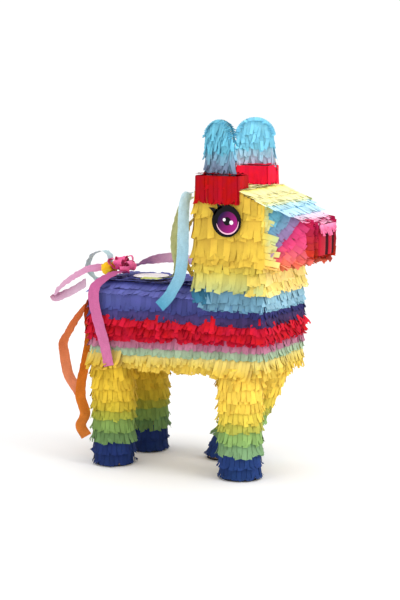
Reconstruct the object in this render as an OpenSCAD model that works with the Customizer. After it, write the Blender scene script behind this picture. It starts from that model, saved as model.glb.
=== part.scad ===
// Donkey pinata: a glued cardboard shell under rows of tissue fringe, with crepe streamers.
// X runs from the tail to the nose, Y to the animal's left, Z up. The drawing's own zero is
// the middle of the rear hooves on the floor; place() then centres the whole object over it.

/* [Body] */
// Length of the cardboard body, rump to chest
body_len = 282; // [235:1:340]
// Width of the cardboard body, neck and head
body_w = 148; // [136:1:178]
// Height of the side walls from the belly to the back
body_h = 102; // [85:1:123]
// How far the flat of the back stands above the side walls
back_rise = 15; // [8:1:20]
// Width of the flat of the back
back_flat_w = 84; // [80:1:100]
// Thickness of the cardboard
board = 3; // [2:0.5:3.5]
// Depth of the tissue fringe over the cardboard
tissue = 6; // [5:0.1:7.2]

/* [Neck and head] */
// Length of the neck and head block, back to front
neck_len = 107; // [89:1:128]
// Height of the crown above the side walls of the body
head_h = 158; // [132:1:190]
// Length of the flat of the crown before the forehead slopes
crown_len = 71; // [60:1:80]
// Drop of the forehead where the snout starts
forehead_drop = 16; // [12:1:20]
// Height of the cardboard under the snout above the side walls of the body
throat_h = 56; // [48:1:66]

/* [Snout] */
// Length of the snout from the front of the neck
snout_len = 64; // [53:1:77]
// Width of the cardboard at the muzzle
muzzle_w = 54; // [45:1:65]
// Height of the cardboard at the muzzle
muzzle_h = 40; // [34:1:48]
// Height of the muzzle's lower edge above the throat
muzzle_lift = 13; // [8:1:16]

/* [Legs] */
// Height of the belly above the floor
leg_h = 160; // [133:1:192]
// Distance between the rear and front leg tops
leg_spacing = 212; // [180:1:215]
// Distance between the left and right legs
leg_track = 108; // [92:1:116]
// Width of the cardboard tube at the hoof
hoof_d = 54; // [45:1:60]
// Width of the cardboard tube at the belly
thigh_d = 60; // [54:1:66]
// How far the front left hoof stands behind its leg's top
left_fore_rake = 76; // [60:1:90]
// Wall of the leg tubes
tube_wall = 2; // [1.5:0.5:3]

/* [Ears and eyes] */
// Width of an ear
ear_w = 52; // [44:1:60]
// Height of an ear above the crown
ear_h = 100; // [84:1:120]
// Distance between the middles of the ears
ear_span = 120; // [112:1:122]
// Turn of each ear from the length of the head, in degrees
ear_turn = 22; // [10:1:26]
// Width of an eye's disc
eye_d = 44; // [37:1:53]

/* [Filling and hanging] */
// Length and width of the fill flap
flap_size = 64; // [53:1:77]
// Gap round the fill flap
flap_gap = 0.6; // [0.4:0.1:1]
// Fringe left showing round the label on the flap
label_margin = 1; // [1:0.5:8]
// Width of the hanging hole
hang_hole_d = 8; // [6:0.5:10]
// Width of the washer under the hanging hole
washer_d = 40; // [34:1:48]

/* [Streamers] */
// Width of the crepe streamers
streamer_w = 17; // [14:1:17]
// Thickness of the crepe, as a stiff strip
streamer_t = 1; // [0.8:0.1:1.2]

/* [Hidden] */
$fn = 48;

// Heights of the shell
belly_z = leg_h;
eaves_z = belly_z + body_h;
back_z = eaves_z + back_rise;
crown_z = eaves_z + head_h;
brow_z = crown_z - forehead_drop;
throat_z = eaves_z + throat_h;
muzzle_z = throat_z + muzzle_lift;

// Lengths of the shell
rump_x = -(body_len - leg_spacing) * 0.4;
chest_x = rump_x + body_len;
nape_x = chest_x - neck_len;
brow_x = nape_x + crown_len;
nose_x = chest_x + snout_len;
half_w = body_w / 2;
half_flat = back_flat_w / 2;

// Flap, washer and hanging hole in the flat of the back
hinge_clear = 8; // fringe kept away from the flap's crease
flap_back_x = rump_x + 36; // leaves room for the bow
hinge_x = flap_back_x + flap_size;
hang_x = (hinge_x + nape_x) / 2;
label_d = flap_size - hinge_clear - 2 * label_margin;
mane_y = -flap_size / 2 - 4.5 - streamer_w / 2; // streamers stand clear of the opening flap
skin_gap = 0.3; // between tissue that is glued to different pieces

// Rows of tissue round the body, as heights above the belly
row_yellow = 11;
row_mint = 22;
row_pink = 32;
row_red = 68;
row_navy = 94; // top of the navy rows at the chest
row_blue = 116;
row_green = 126;
hem = 4; // yellow fringe hanging below the belly

// Rows of tissue up each leg
leg_row_navy = 40;
leg_row_green = 74;
leg_tissue = 5;

// Ear and eye places
ear_x = nape_x + 34;
ear_band_h = 26; // red fringe above the crown
ear_drape_h = 22; // red fringe over the side of the head
ear_drape_l = 66;
ear_drape_t = 4;
ear_skin = 3;
eye_x = chest_x - 51;
eye_z = crown_z - 41;
eye_t = 1;

label_t = 0.5;
washer_t = 3;
chip = 0.01; // overshoot of a cut

// Tail pieces, from the middle of the bow
bow_x = flap_back_x - 21;
bow_r = 9;
bow_t = 1.5;
bow_spread = 5;
pad_w = 18;
pad_h = 12;
knot_x = rump_x - 6;
knot_r = 9;
knot_lift = 7;
knot_w = 24;
knot_flat = knot_r * cos(22.5);

// Outer faces of the fringe
back_top = back_z + tissue;
side_y = half_w + tissue;
nape_skin = nape_x - tissue;
rump_skin = rump_x - tissue;
drape_y = side_y + 3; // streamers that hang past the side
thigh_y = leg_track / 2 + thigh_d / 2 + leg_tissue;

// Paths of the streamers, each from the face that it is glued to
rear_path = [[0, 0, 0], [-10, 0, 0], [-26, -1, -2], [-50, -2, -12], [-74, -3, -28], [-84, -4, -38],
    [-90, -4, -44], [-88, -4, -49], [-76, -3, -46], [-52, -2, -34], [-34, -1, -24]];
over_back_path = [[0, 0, 0], [0, 8, 0], [2, 20, 3], [12, 34, 9], [30, 42, 14], [55, 45, 17], [85, 44, 15],
    [112, 40, 8], [130, 36, 5]];
orange_long_path = [[0, 0, 0], [-7, 0, 0], [-16, 0, -8], [-20, -1, -30], [-16, -2, -62], [-22, -2, -96],
    [-30, -1, -128], [-34, 0, -160], [-26, 0, -186], [-34, 0, -206], [-24, 0, -222]];
orange_short_path = [[0, 0, 0], [-8, 0, 0], [-24, 1, -8], [-48, 2, -30], [-72, 3, -62], [-86, 4, -84],
    [-84, 4, -104], [-76, 2, -134], [-62, 0, -152], [-50, -2, -166]];
tail_blue_path = [[0, 0, 0], [0, 0, 6], [-5, 2, 13], [-16, 5, 17], [-32, 9, 13], [-44, 13, 4], [-50, 15, -8],
    [-44, 16, -22], [-34, 17, -30]];
mane_green_path = [[0, 0, 0], [-8, 0, 0], [-24, -1, -8], [-36, -2, -38], [-40, -2, -70], [-35, -1, -100],
    [-40, 0, -116], [-62, 0, -122], [-84, 2, -123], [-96, 3, -123]];
mane_yellow_path = [[0, 0, 0], [-6, 0, 0], [-18, 0, -12], [-26, 0, -34], [-28, 0, -58], [-18, 0, -78],
    [-10, 0, -88]];

// Everything is centred between the rear streamer's fold and the muzzle
mid_x = (knot_x - knot_flat + rear_path[6].x + nose_x + board + 1) / 2;

module place() {
    translate([-mid_x, 0, 0])
        children();
}

module both_sides_of_y() {
    children();
    mirror([0, 1, 0])
        children();
}

// A box given by its low and high corners
module span(low, high) {
    translate(low)
        cube(high - low);
}

// A profile in X and Z, drawn through the width from y0 to y1
module profile(points, y0, y1) {
    translate([0, y1, 0])
        rotate([90, 0, 0])
            linear_extrude(height = y1 - y0)
                polygon(points);
}

// A profile in Y and Z, drawn along the length from x0 to x1
module along(points, x0, x1) {
    translate([x0, 0, 0])
        rotate([90, 0, 90])
            linear_extrude(height = x1 - x0)
                polygon(points);
}

// Cross-section of the back, lifted by up and spread to the half width w
function back_line(up, w) = [
    [-w, eaves_z + up],
    [-half_flat, back_z + up],
    [half_flat, back_z + up],
    [w, eaves_z + up]
];
function turned(list) = [for (i = [len(list) - 1:-1:0]) list[i]];

// ---- cardboard shell ----

module side_wall() {
    profile([
        [rump_x, belly_z],
        [chest_x, belly_z],
        [chest_x, brow_z],
        [brow_x, crown_z],
        [nape_x, crown_z],
        [nape_x, eaves_z],
        [rump_x, eaves_z]
    ], half_w - board, half_w);
}

module side_left() {
    color("burlywood")
        place()
            side_wall();
}

module side_right() {
    color("burlywood")
        place()
            mirror([0, 1, 0])
                side_wall();
}

module back_sheet(low, high, x0, x1, w) {
    along(concat(turned(back_line(low, w)), back_line(high, w)), x0, x1);
}

module back_panel() {
    color("burlywood")
        place()
            difference() {
                union() {
                    back_sheet(-board, 0, rump_x + board, nape_x, half_w - board);
                }
                span([flap_back_x, -flap_size / 2, back_z - 2 * board],
                    [hinge_x, flap_size / 2, back_z + board]);
                translate([hang_x, 0, back_z - 2 * board])
                    cylinder(d = hang_hole_d, h = 3 * board);
            }
}

module belly_panel() {
    color("burlywood")
        place()
            span([rump_x, board - half_w, belly_z], [chest_x, half_w - board, belly_z + board]);
}

module rump_panel() {
    color("burlywood")
        place()
            along(concat([[half_w - board, belly_z + board], [board - half_w, belly_z + board]],
                back_line(0, half_w - board)), rump_x, rump_x + board);
}

module chest_panel() {
    color("burlywood")
        place()
            span([chest_x - board, board - half_w, belly_z + board],
                [chest_x, half_w - board, throat_z]);
}

module neck_back_panel() {
    color("burlywood")
        place()
            span([nape_x, board - half_w, eaves_z - board], [nape_x + board, half_w - board, crown_z - board]);
}

module crown_panel() {
    color("burlywood")
        place()
            profile([
                [nape_x, crown_z - board],
                [brow_x, crown_z - board],
                [chest_x, brow_z - board],
                [chest_x, brow_z],
                [brow_x, crown_z],
                [nape_x, crown_z]
            ], board - half_w, half_w - board);
}

// The snout is four flat panels, mitred at their corners. Each ring of corners runs
// top left, top right, bottom right, bottom left, seen from the front.
function ring(x, w, low, high) = [[x, w, high], [x, -w, high], [x, -w, low], [x, w, low]];
function snout_ring(at, out) = ring(
    chest_x + at * snout_len,
    half_w + out + at * (muzzle_w / 2 - half_w),
    throat_z - out + at * muzzle_lift,
    brow_z + out + at * (muzzle_z + muzzle_h - brow_z)
);

module snout_plate(side, from, to, inner, outer) {
    a = side;
    b = (side + 1) % 4;
    outside = [snout_ring(from, outer)[a], snout_ring(from, outer)[b],
        snout_ring(to, outer)[b], snout_ring(to, outer)[a]];
    inside = [snout_ring(from, inner)[a], snout_ring(from, inner)[b],
        snout_ring(to, inner)[b], snout_ring(to, inner)[a]];
    polyhedron(concat(outside, inside), [
        [0, 1, 2, 3],
        [7, 6, 5, 4],
        [0, 4, 5, 1],
        [1, 5, 6, 2],
        [2, 6, 7, 3],
        [3, 7, 4, 0]
    ]);
}

module snout_panel(side) {
    color("burlywood")
        place()
            snout_plate(side, 0, 1, -board, 0);
}

module snout_top() {
    snout_panel(0);
}

module cheek_right() {
    snout_panel(1);
}

module snout_bottom() {
    snout_panel(2);
}

module cheek_left() {
    snout_panel(3);
}

module muzzle_end() {
    color("burlywood")
        place()
            span([nose_x, -muzzle_w / 2, muzzle_z], [nose_x + board, muzzle_w / 2, muzzle_z + muzzle_h]);
}

// ---- legs ----

// A tapered leg with its top at the belly, raked back by rake and cut flat at both ends;
// extra is added to its radius
module leg_solid(rake, extra, low, high) {
    lean = atan(rake / leg_h);
    over = 40;
    taper = (thigh_d - hoof_d) / 2 / leg_h;
    intersection() {
        translate([-rake - thigh_d, -thigh_d, low])
            cube([rake + 3 * thigh_d, 2 * thigh_d, high - low]);
        translate([0, 0, leg_h])
            rotate([0, lean, 0])
                translate([0, 0, -leg_h / cos(lean) - over])
                    cylinder(r1 = hoof_d / 2 + extra - over * taper,
                        r2 = thigh_d / 2 + extra + over * taper, h = leg_h / cos(lean) + 2 * over);
    }
}

// Legs in the order rear right, rear left, front right, front left
leg_places = [[0, -leg_track / 2], [0, leg_track / 2], [leg_spacing, -leg_track / 2], [leg_spacing, leg_track / 2]];
leg_rakes = [0, 0, 0, left_fore_rake];

module leg_at(i) {
    place()
        translate([leg_places[i].x, leg_places[i].y, 0])
            children();
}

module leg_tube(i) {
    color("burlywood")
        leg_at(i)
            difference() {
                leg_solid(leg_rakes[i], 0, board, leg_h);
                leg_solid(leg_rakes[i], -tube_wall, board - 1, leg_h + 1);
            }
}

module hoof_disc(i) {
    color("dimgray")
        leg_at(i)
            leg_solid(leg_rakes[i], 0, 0, board);
}

module leg_rear_right() {
    leg_tube(0);
}

module leg_rear_left() {
    leg_tube(1);
}

module leg_front_right() {
    leg_tube(2);
}

module leg_front_left() {
    leg_tube(3);
}

module hoof_rear_right() {
    hoof_disc(0);
}

module hoof_rear_left() {
    hoof_disc(1);
}

module hoof_front_right() {
    hoof_disc(2);
}

module hoof_front_left() {
    hoof_disc(3);
}

module leg_rows(low, high) {
    for (i = [0:3])
        leg_at(i)
            difference() {
                leg_solid(leg_rakes[i], leg_tissue, low, high);
                leg_solid(leg_rakes[i], 0, low - 1, high + 1);
            }
}

module tissue_leg_navy() {
    color("midnightblue")
        leg_rows(1, leg_row_navy);
}

module tissue_leg_green() {
    color("yellowgreen")
        leg_rows(leg_row_navy, leg_row_green);
}

module tissue_leg_yellow() {
    color("gold")
        leg_rows(leg_row_green, belly_z - hem - skin_gap);
}

// ---- ears and eyes ----

// Outline of an ear: straight sides under a round top, from the height low
module ear_outline(low, grow) {
    r = ear_w / 2 + grow;
    straight = ear_h - ear_w / 2;
    translate([-r, low])
        square([2 * r, straight - low]);
    translate([0, straight])
        circle(r = r);
}

// Stands an outline on the crown, t thick, on the right-hand side
module ear_place(t) {
    place()
        translate([ear_x, -ear_span / 2, crown_z])
            rotate([90, 0, -ear_turn])
                translate([0, 0, -t / 2])
                    linear_extrude(height = t)
                        children();
}

module ear_right() {
    color("burlywood")
        ear_place(board)
            ear_outline(0, 0);
}

module ear_left() {
    mirror([0, 1, 0])
        ear_right();
}

module tissue_ear_blue_right() {
    color("skyblue")
        difference() {
            ear_place(board + 2 * ear_skin)
                ear_outline(tissue + ear_band_h, ear_skin);
            ear_place(board)
                ear_outline(0, 0);
        }
}

module tissue_ear_blue_left() {
    mirror([0, 1, 0])
        tissue_ear_blue_right();
}

module tissue_ear_red_right() {
    x0 = ear_x - ear_drape_l / 2;
    x1 = ear_x + ear_drape_l / 2;
    out_y = -side_y - skin_gap - ear_drape_t;
    top = crown_z + tissue + ear_band_h;
    color("crimson")
        difference() {
            place()
                union() {
                    span([x0, out_y, crown_z + tissue], [x1, -ear_span / 2 + 18, top]);
                    span([x0, out_y, crown_z - ear_drape_h + tissue],
                        [x1, -side_y - skin_gap, crown_z + tissue]);
                }
            ear_place(board)
                ear_outline(0, 0);
        }
}

module tissue_ear_red_left() {
    mirror([0, 1, 0])
        tissue_ear_red_right();
}

module lash(turn, reach) {
    rotate(turn)
        polygon([[eye_d * 0.40, -3.5], [reach, 0], [eye_d * 0.40, 4]]);
}

module eye_right() {
    color("black")
        place()
            translate([eye_x, -side_y, eye_z])
                rotate([90, 0, 0])
                    linear_extrude(height = eye_t)
                        union() {
                            circle(d = eye_d);
                            lash(145, eye_d * 0.78);
                            lash(125, eye_d * 0.64);
                        }
}

module eye_left() {
    mirror([0, 1, 0])
        eye_right();
}

// ---- filling and hanging ----

module fill_flap() {
    color("burlywood")
        place()
            span([flap_back_x + flap_gap, flap_gap - flap_size / 2, back_z - board],
                [hinge_x - flap_gap, flap_size / 2 - flap_gap, back_z]);
}

module tissue_flap() {
    color("navy")
        place()
            span([flap_back_x + 1, 1 - flap_size / 2, back_z],
                [hinge_x - hinge_clear, flap_size / 2 - 1, back_top - label_t]);
}

module fill_label() {
    color("white")
        place()
            translate([(flap_back_x + hinge_x - hinge_clear) / 2, 0, back_top - label_t])
                cylinder(d = label_d, h = label_t);
}

module hanging_washer() {
    color("tan")
        place()
            translate([hang_x, 0, back_z - board - washer_t])
                difference() {
                    cylinder(d = washer_d, h = washer_t);
                    translate([0, 0, -1])
                        cylinder(d = hang_hole_d, h = washer_t + 2);
                }
}

// ---- tissue on the body, neck and head ----

// A band right round the body between two heights above the belly
module body_band(low, high) {
    difference() {
        span([rump_skin, -side_y, belly_z + low], [chest_x + tissue, side_y, belly_z + high]);
        span([rump_x, -half_w, belly_z + low - 1], [chest_x, half_w, belly_z + high + 1]);
    }
}

// A band round the neck; front says whether it covers the front as well
module neck_band(low, high, front) {
    difference() {
        span([nape_skin, -side_y, low], [chest_x + (front ? tissue : 0), side_y, high]);
        span([nape_x, -half_w, low - 1], [chest_x + (front ? 0 : 1), half_w, high + 1]);
        // open behind, up to the fringe on the back
        span([nape_skin - 1, -half_w, eaves_z - back_rise], [nape_x + 1, half_w, back_top]);
    }
}

module tissue_body_yellow() {
    color("gold")
        place()
            difference() {
                union() {
                    body_band(-hem, row_yellow);
                    span([rump_x, -half_w, belly_z - hem], [chest_x, half_w, belly_z]);
                }
                for (i = [0:3])
                    translate([leg_places[i].x, leg_places[i].y, 0])
                        leg_solid(leg_rakes[i], skin_gap, belly_z - hem - 1, belly_z + chip);
            }
}

module tissue_body_mint() {
    color("aquamarine")
        place()
            body_band(row_yellow, row_mint);
}

module tissue_body_pink() {
    color("hotpink")
        place()
            body_band(row_mint, row_pink);
}

module tissue_body_red() {
    color("red")
        place()
            body_band(row_pink, row_red);
}

module tissue_body_navy() {
    color("navy")
        place()
            body_band(row_red, row_navy);
}

// Navy rows over the top of the back, with the flap's opening left clear
module tissue_back() {
    top_row = belly_z + row_navy;
    color("navy")
        place()
            difference() {
                union() {
                    along(concat(turned(back_line(0, half_w)), back_line(tissue, side_y)), rump_x, nape_skin);
                    difference() {
                        along([
                            [side_y, top_row],
                            [-side_y, top_row],
                            [-side_y, eaves_z + tissue],
                            [-half_flat, back_top],
                            [half_flat, back_top],
                            [side_y, eaves_z + tissue]
                        ], rump_skin, nape_skin);
                        along([
                            [half_w, top_row - 1],
                            [-half_w, top_row - 1],
                            [-half_w, eaves_z],
                            [-half_flat, back_z],
                            [half_flat, back_z],
                            [half_w, eaves_z]
                        ], rump_x, nape_skin + 1);
                    }
                }
                span([flap_back_x, -flap_size / 2, back_z - 1], [hinge_x + 2, flap_size / 2, back_top + 1]);
                translate([hang_x, 0, back_z - 1])
                    cylinder(d = hang_hole_d + 4, h = tissue + 2);
            }
}

module tissue_neck_blue() {
    color("skyblue")
        place()
            neck_band(belly_z + row_navy, belly_z + row_blue, true);
}

module tissue_neck_green() {
    color("yellowgreen")
        place()
            neck_band(belly_z + row_blue, belly_z + row_green, true);
}

// Yellow over the neck and the sides of the head, open at the front where the snout is
module tissue_head_yellow() {
    low = belly_z + row_green;
    color("gold")
        place()
            difference() {
                union() {
                    neck_band(low, throat_z - tissue, true);
                    neck_band(throat_z - tissue, crown_z + tissue, false);
                }
                profile([
                    [brow_x, crown_z + tissue],
                    [chest_x, brow_z + tissue],
                    [chest_x + 1, crown_z + tissue + 1],
                    [brow_x, crown_z + tissue + 1]
                ], -side_y - 1, side_y + 1);
            }
}

module tissue_crown() {
    color("khaki")
        place()
            difference() {
                profile([
                    [nape_x, crown_z],
                    [brow_x, crown_z],
                    [chest_x, brow_z],
                    [chest_x, brow_z + tissue],
                    [brow_x, crown_z + tissue],
                    [nape_x, crown_z + tissue]
                ], -half_w, half_w);
                both_sides_of_y()
                    translate([ear_x, -ear_span / 2, crown_z])
                        rotate([0, 0, -ear_turn])
                            cube([ear_w, board, 3 * tissue], center = true);
            }
}

// A sleeve round the snout between two fractions of its length
module snout_sleeve(from, to) {
    for (side = [0:3])
        snout_plate(side, from, to, 0, leg_tissue);
}

module tissue_snout_blue() {
    color("lightblue")
        place()
            snout_sleeve(0, 0.25);
}

module tissue_snout_lilac() {
    color("plum")
        place()
            snout_sleeve(0.25, 0.5);
}

module tissue_snout_pink() {
    color("deeppink")
        place()
            snout_sleeve(0.5, 1);
}

module muzzle_face() {
    color("firebrick")
        place()
            span([nose_x + board, -muzzle_w / 2 - 3, muzzle_z - 3],
                [nose_x + board + 1, muzzle_w / 2 + 3, muzzle_z + muzzle_h + 3]);
}

// ---- streamers ----

function unit(v) = v / norm(v);
function mix(a, b, t) = a + (b - a) * t;
function heading(p, i) = unit(p[min(i + 1, len(p) - 1)] - p[max(i - 1, 0)]);

// Corners of the strip at point i: its width turns evenly from the direction start to end
function strip_ring(p, i, start, end) =
    let (
        along_path = heading(p, i),
        wide = mix(start, end, i / (len(p) - 1)),
        flat = unit(wide - (wide * along_path) * along_path),
        up = cross(along_path, flat)
    )
    [for (c = [[1, 1], [-1, 1], [-1, -1], [1, -1]])
        p[i] + flat * c.x * streamer_w / 2 + up * c.y * streamer_t / 2];

// Two triangles of one wall between corners a and b and the next ring's pair. Opposite walls
// are cut along the same diagonal, so a strip that twists keeps its thickness
function wall_pair(a, b, rising) = rising
    ? [[a, a + 4, b + 4], [a, b + 4, b]]
    : [[a, a + 4, b], [a + 4, b + 4, b]];

// A crepe strip along the points p
module strip(p, start, end) {
    n = len(p);
    corners = [for (i = [0:n - 1]) each strip_ring(p, i, start, end)];
    walls = [for (i = [0:n - 2]) for (k = [0:3]) each wall_pair(4 * i + k, 4 * i + (k + 1) % 4, k < 2)];
    last = 4 * (n - 1);
    ends = [[0, 1, 2], [0, 2, 3], [last + 2, last + 1, last], [last + 3, last + 2, last]];
    polyhedron(corners, concat(walls, ends));
}

// A path moved to the point where its streamer is glued
function glued_at(origin, path) = [for (q = path) origin + q];

module tail_bow() {
    color("deeppink")
        place()
            translate([bow_x, 0, back_top]) {
                span([-pad_w / 2, -pad_w / 2, 0], [pad_w / 2, pad_w / 2, pad_h]);
                for (side = [-1, 1])
                    translate([side * bow_spread, pad_w / 2, pad_h + bow_r - bow_t])
                        rotate([90, 0, 0])
                            difference() {
                                cylinder(r = bow_r, h = pad_w);
                                translate([0, 0, -1])
                                    cylinder(r = bow_r - bow_t, h = pad_w + 2);
                            }
            }
}

module tail_knot() {
    color("gold")
        place()
            difference() {
                translate([knot_x, knot_w / 2, back_top + knot_lift])
                    rotate([90, 0, 0])
                        rotate(22.5)
                            cylinder(r = knot_r, h = knot_w, $fn = 8);
                span([knot_x - 2 * knot_r, -knot_w, back_top - knot_r], [knot_x + 2 * knot_r, knot_w, back_top]);
            }
}

// Pink crepe from the bow, over the right shoulder of the back and down the side
module streamer_side_pink() {
    path = [
        [bow_x, -pad_w / 2, back_top + 5],
        [bow_x, -pad_w / 2 - 8, back_top + 5],
        [bow_x - 2, -half_flat, back_top + 5],
        [bow_x - 3, -half_w + 4, eaves_z + tissue + 9],
        [bow_x - 3, -side_y - 1.5, eaves_z + tissue + 4],
        [bow_x - 1, -drape_y - 0.5, eaves_z - 4],
        [bow_x + 4, -drape_y, eaves_z - 30],
        [bow_x + 13, -drape_y, eaves_z - 58],
        [bow_x + 20, -max(drape_y, thigh_y - 3), eaves_z - 82],
        [bow_x + 26, -max(drape_y, thigh_y + 2.5), eaves_z - 106]
    ];
    color("hotpink")
        place()
            strip(path, [1, 0, 0], [1, 0, 0]);
}

module streamer_rear_pink() {
    color("hotpink")
        place()
            strip(glued_at([knot_x - knot_flat, -3, back_top + knot_lift], rear_path), [0, 1, 0], [0, 1, 0]);
}

module streamer_back_pink() {
    color("pink")
        place()
            strip(glued_at([bow_x, pad_w / 2, back_top + 5], over_back_path), [1, 0, 0], [0, -1, 0]);
}

module streamers_orange() {
    color("orangered")
        place() {
            strip(glued_at([rump_skin, -38, eaves_z - 8], orange_long_path), [0, 1, 0], [0, 1, 0]);
            strip(glued_at([rump_skin, -6, eaves_z - 8], orange_short_path), [0, 1, 0], [0, 1, 0]);
        }
}

module streamer_tail_blue() {
    color("powderblue")
        place()
            strip(glued_at([knot_x, 0, back_top + knot_lift + knot_flat], tail_blue_path), [0, 1, 0], [0, 1, 0]);
}

// Blue crepe from behind the right ear, down the corner of the neck to the side of the body
module mane_blue() {
    top = crown_z - 4;
    y = -half_w + 4.5;
    path = [
        [nape_skin, y, top],
        [nape_skin - 6, y, top],
        [nape_skin - 12, y - 1, top - 16],
        [nape_skin - 13, y - 3, eaves_z + 104],
        [nape_skin - 13, y - 5, eaves_z + 64],
        [nape_skin - 16, y - 7, eaves_z + 34],
        [nape_skin - 22, -side_y - 1, eaves_z + 17],
        [nape_skin - 30, -drape_y - 0.5, eaves_z + 2],
        [nape_skin - 44, -drape_y, eaves_z - 12]
    ];
    color("skyblue")
        place()
            strip(path, [0, 1, 0], [1, 0, 0]);
}

module mane_green() {
    path = concat(
        glued_at([nape_skin, mane_y, crown_z - 12], [for (i = [0:3]) mane_green_path[i]]),
        glued_at([nape_skin, mane_y, back_top + 125], [for (i = [4:9]) mane_green_path[i]])
    );
    color("yellowgreen")
        place()
            strip(path, [0, 1, 0], [0, 1, 0]);
}

module mane_yellow() {
    color("khaki")
        place()
            strip(glued_at([nape_skin, mane_y + 2, back_top + 97], mane_yellow_path), [0, 1, 0], [0, 1, 0]);
}

side_right();
side_left();
back_panel();
belly_panel();
rump_panel();
chest_panel();
neck_back_panel();
crown_panel();
snout_top();
snout_bottom();
cheek_right();
cheek_left();
muzzle_end();
leg_rear_right();
leg_rear_left();
leg_front_right();
leg_front_left();
hoof_rear_right();
hoof_rear_left();
hoof_front_right();
hoof_front_left();
ear_right();
ear_left();
eye_right();
eye_left();
fill_flap();
hanging_washer();
fill_label();
tissue_body_navy();
tissue_body_red();
tissue_body_pink();
tissue_body_mint();
tissue_body_yellow();
tissue_back();
tissue_flap();
tissue_neck_blue();
tissue_neck_green();
tissue_head_yellow();
tissue_crown();
tissue_snout_blue();
tissue_snout_lilac();
tissue_snout_pink();
muzzle_face();
tissue_ear_red_right();
tissue_ear_red_left();
tissue_ear_blue_right();
tissue_ear_blue_left();
tissue_leg_yellow();
tissue_leg_green();
tissue_leg_navy();
tail_bow();
tail_knot();
streamer_side_pink();
streamer_rear_pink();
streamer_back_pink();
streamers_orange();
streamer_tail_blue();
mane_blue();
mane_green();
mane_yellow();
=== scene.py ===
import math
import bpy
import bmesh
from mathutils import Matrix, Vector, noise


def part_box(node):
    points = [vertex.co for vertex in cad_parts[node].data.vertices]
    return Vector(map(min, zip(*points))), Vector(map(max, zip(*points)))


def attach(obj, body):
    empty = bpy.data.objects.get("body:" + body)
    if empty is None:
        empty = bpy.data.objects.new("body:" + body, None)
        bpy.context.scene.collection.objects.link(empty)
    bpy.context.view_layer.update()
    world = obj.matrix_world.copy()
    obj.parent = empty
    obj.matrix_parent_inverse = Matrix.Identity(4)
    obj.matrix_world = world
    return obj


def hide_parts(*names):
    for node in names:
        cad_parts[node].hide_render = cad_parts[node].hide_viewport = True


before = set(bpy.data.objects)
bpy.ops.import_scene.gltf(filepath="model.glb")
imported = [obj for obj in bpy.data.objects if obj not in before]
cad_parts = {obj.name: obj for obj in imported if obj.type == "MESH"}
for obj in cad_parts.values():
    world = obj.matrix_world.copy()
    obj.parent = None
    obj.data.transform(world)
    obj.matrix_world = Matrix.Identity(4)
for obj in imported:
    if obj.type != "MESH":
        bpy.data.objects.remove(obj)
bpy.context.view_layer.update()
print("frame loaded,", len(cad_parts), "CAD nodes")

# camera
viewpoint = dict(azimuth=26.8, elevation=7.8, distance=2.6, target=(0.0202, 0, 0.25), lens=156, sensor=36,
                 shift=0.0055, clip=(0.05, 60))


def makeCamera(look):
    turn = math.radians(look["azimuth"])
    tilt = math.radians(look["elevation"])
    away = Vector((math.sin(turn) * math.cos(tilt), -math.cos(turn) * math.cos(tilt), math.sin(tilt)))
    data = bpy.data.cameras.new("camera")
    data.lens = look["lens"]
    data.sensor_fit = "HORIZONTAL"
    data.sensor_width = look["sensor"]
    data.shift_x = look["shift"]
    data.clip_start, data.clip_end = look["clip"]
    camera = bpy.data.objects.new("camera", data)
    camera.location = Vector(look["target"]) + away * look["distance"]
    camera.rotation_euler = (-away).to_track_quat("-Z", "Y").to_euler()
    bpy.context.scene.collection.objects.link(camera)
    bpy.context.scene.camera = camera


makeCamera(viewpoint)
print("camera placed")

# sizes taken from the frame, in millimetres from the middle of the rear hooves
hoofLow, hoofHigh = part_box("hoof_rear_right")
zeroX = (hoofLow.x + hoofHigh.x) / 2


def at(x, y, z):
    return Vector((x / 1000 + zeroX, y / 1000, z / 1000))


def nodeBox(node):
    return [Vector(((c.x - zeroX) * 1000, c.y * 1000, c.z * 1000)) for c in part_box(node)]


board = 3
halfFlat = 42  # half of the flat strip along the back
foreheadLength = 36
foreheadDrop = 16
rumpX = nodeBox("rump_panel")[0].x
chestX = nodeBox("chest_panel")[1].x
napeX = nodeBox("neck_back_panel")[0].x
halfW = nodeBox("side_left")[1].y
bellyZ = nodeBox("belly_panel")[0].z
backZ = nodeBox("back_panel")[1].z
eavesZ = nodeBox("back_panel")[0].z + board
crownZ = nodeBox("crown_panel")[1].z
throatZ = nodeBox("cheek_right")[0].z
muzzleLow, muzzleHigh = nodeBox("muzzle_end")
noseX = muzzleLow.x
browX = chestX - foreheadLength
browZ = nodeBox("cheek_right")[1].z


def hexColour(code):
    channels = [int(code[i:i + 2], 16) / 255 for i in (0, 2, 4)]
    linear = [c / 12.92 if c <= 0.04045 else ((c + 0.055) / 1.055) ** 2.4 for c in channels]
    return (*linear, 1.0)


# node helpers
def feed(tree, socket, value):
    if isinstance(value, bpy.types.NodeSocket):
        tree.links.new(value, socket)
    else:
        socket.default_value = value


def live(sockets, name):
    return next(s for s in sockets if s.name == name and s.enabled)


def addNode(tree, kind, inputs=None, **settings):
    node = tree.nodes.new(kind)
    for key, value in settings.items():
        setattr(node, key, value)
    for name, value in (inputs or {}).items():
        feed(tree, live(node.inputs, name), value)
    return node


def calc(tree, operation, *values):
    # one maths node: on vectors when the first value is one
    isVector = getattr(values[0], "type", "") == "VECTOR"
    node = tree.nodes.new("ShaderNodeVectorMath" if isVector else "ShaderNodeMath")
    node.operation = operation
    sockets = [node.inputs[0], node.inputs["Scale"]] if operation == "SCALE" else node.inputs
    for socket, value in zip(sockets, values):
        feed(tree, socket, value)
    return node.outputs[0]


def stored(tree, geometry, name, kind, value):
    node = addNode(tree, "GeometryNodeStoreNamedAttribute", data_type=kind, domain="POINT")
    feed(tree, live(node.inputs, "Geometry"), geometry)
    node.inputs["Name"].default_value = name
    feed(tree, live(node.inputs, "Value"), value)
    return node.outputs["Geometry"]


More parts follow.
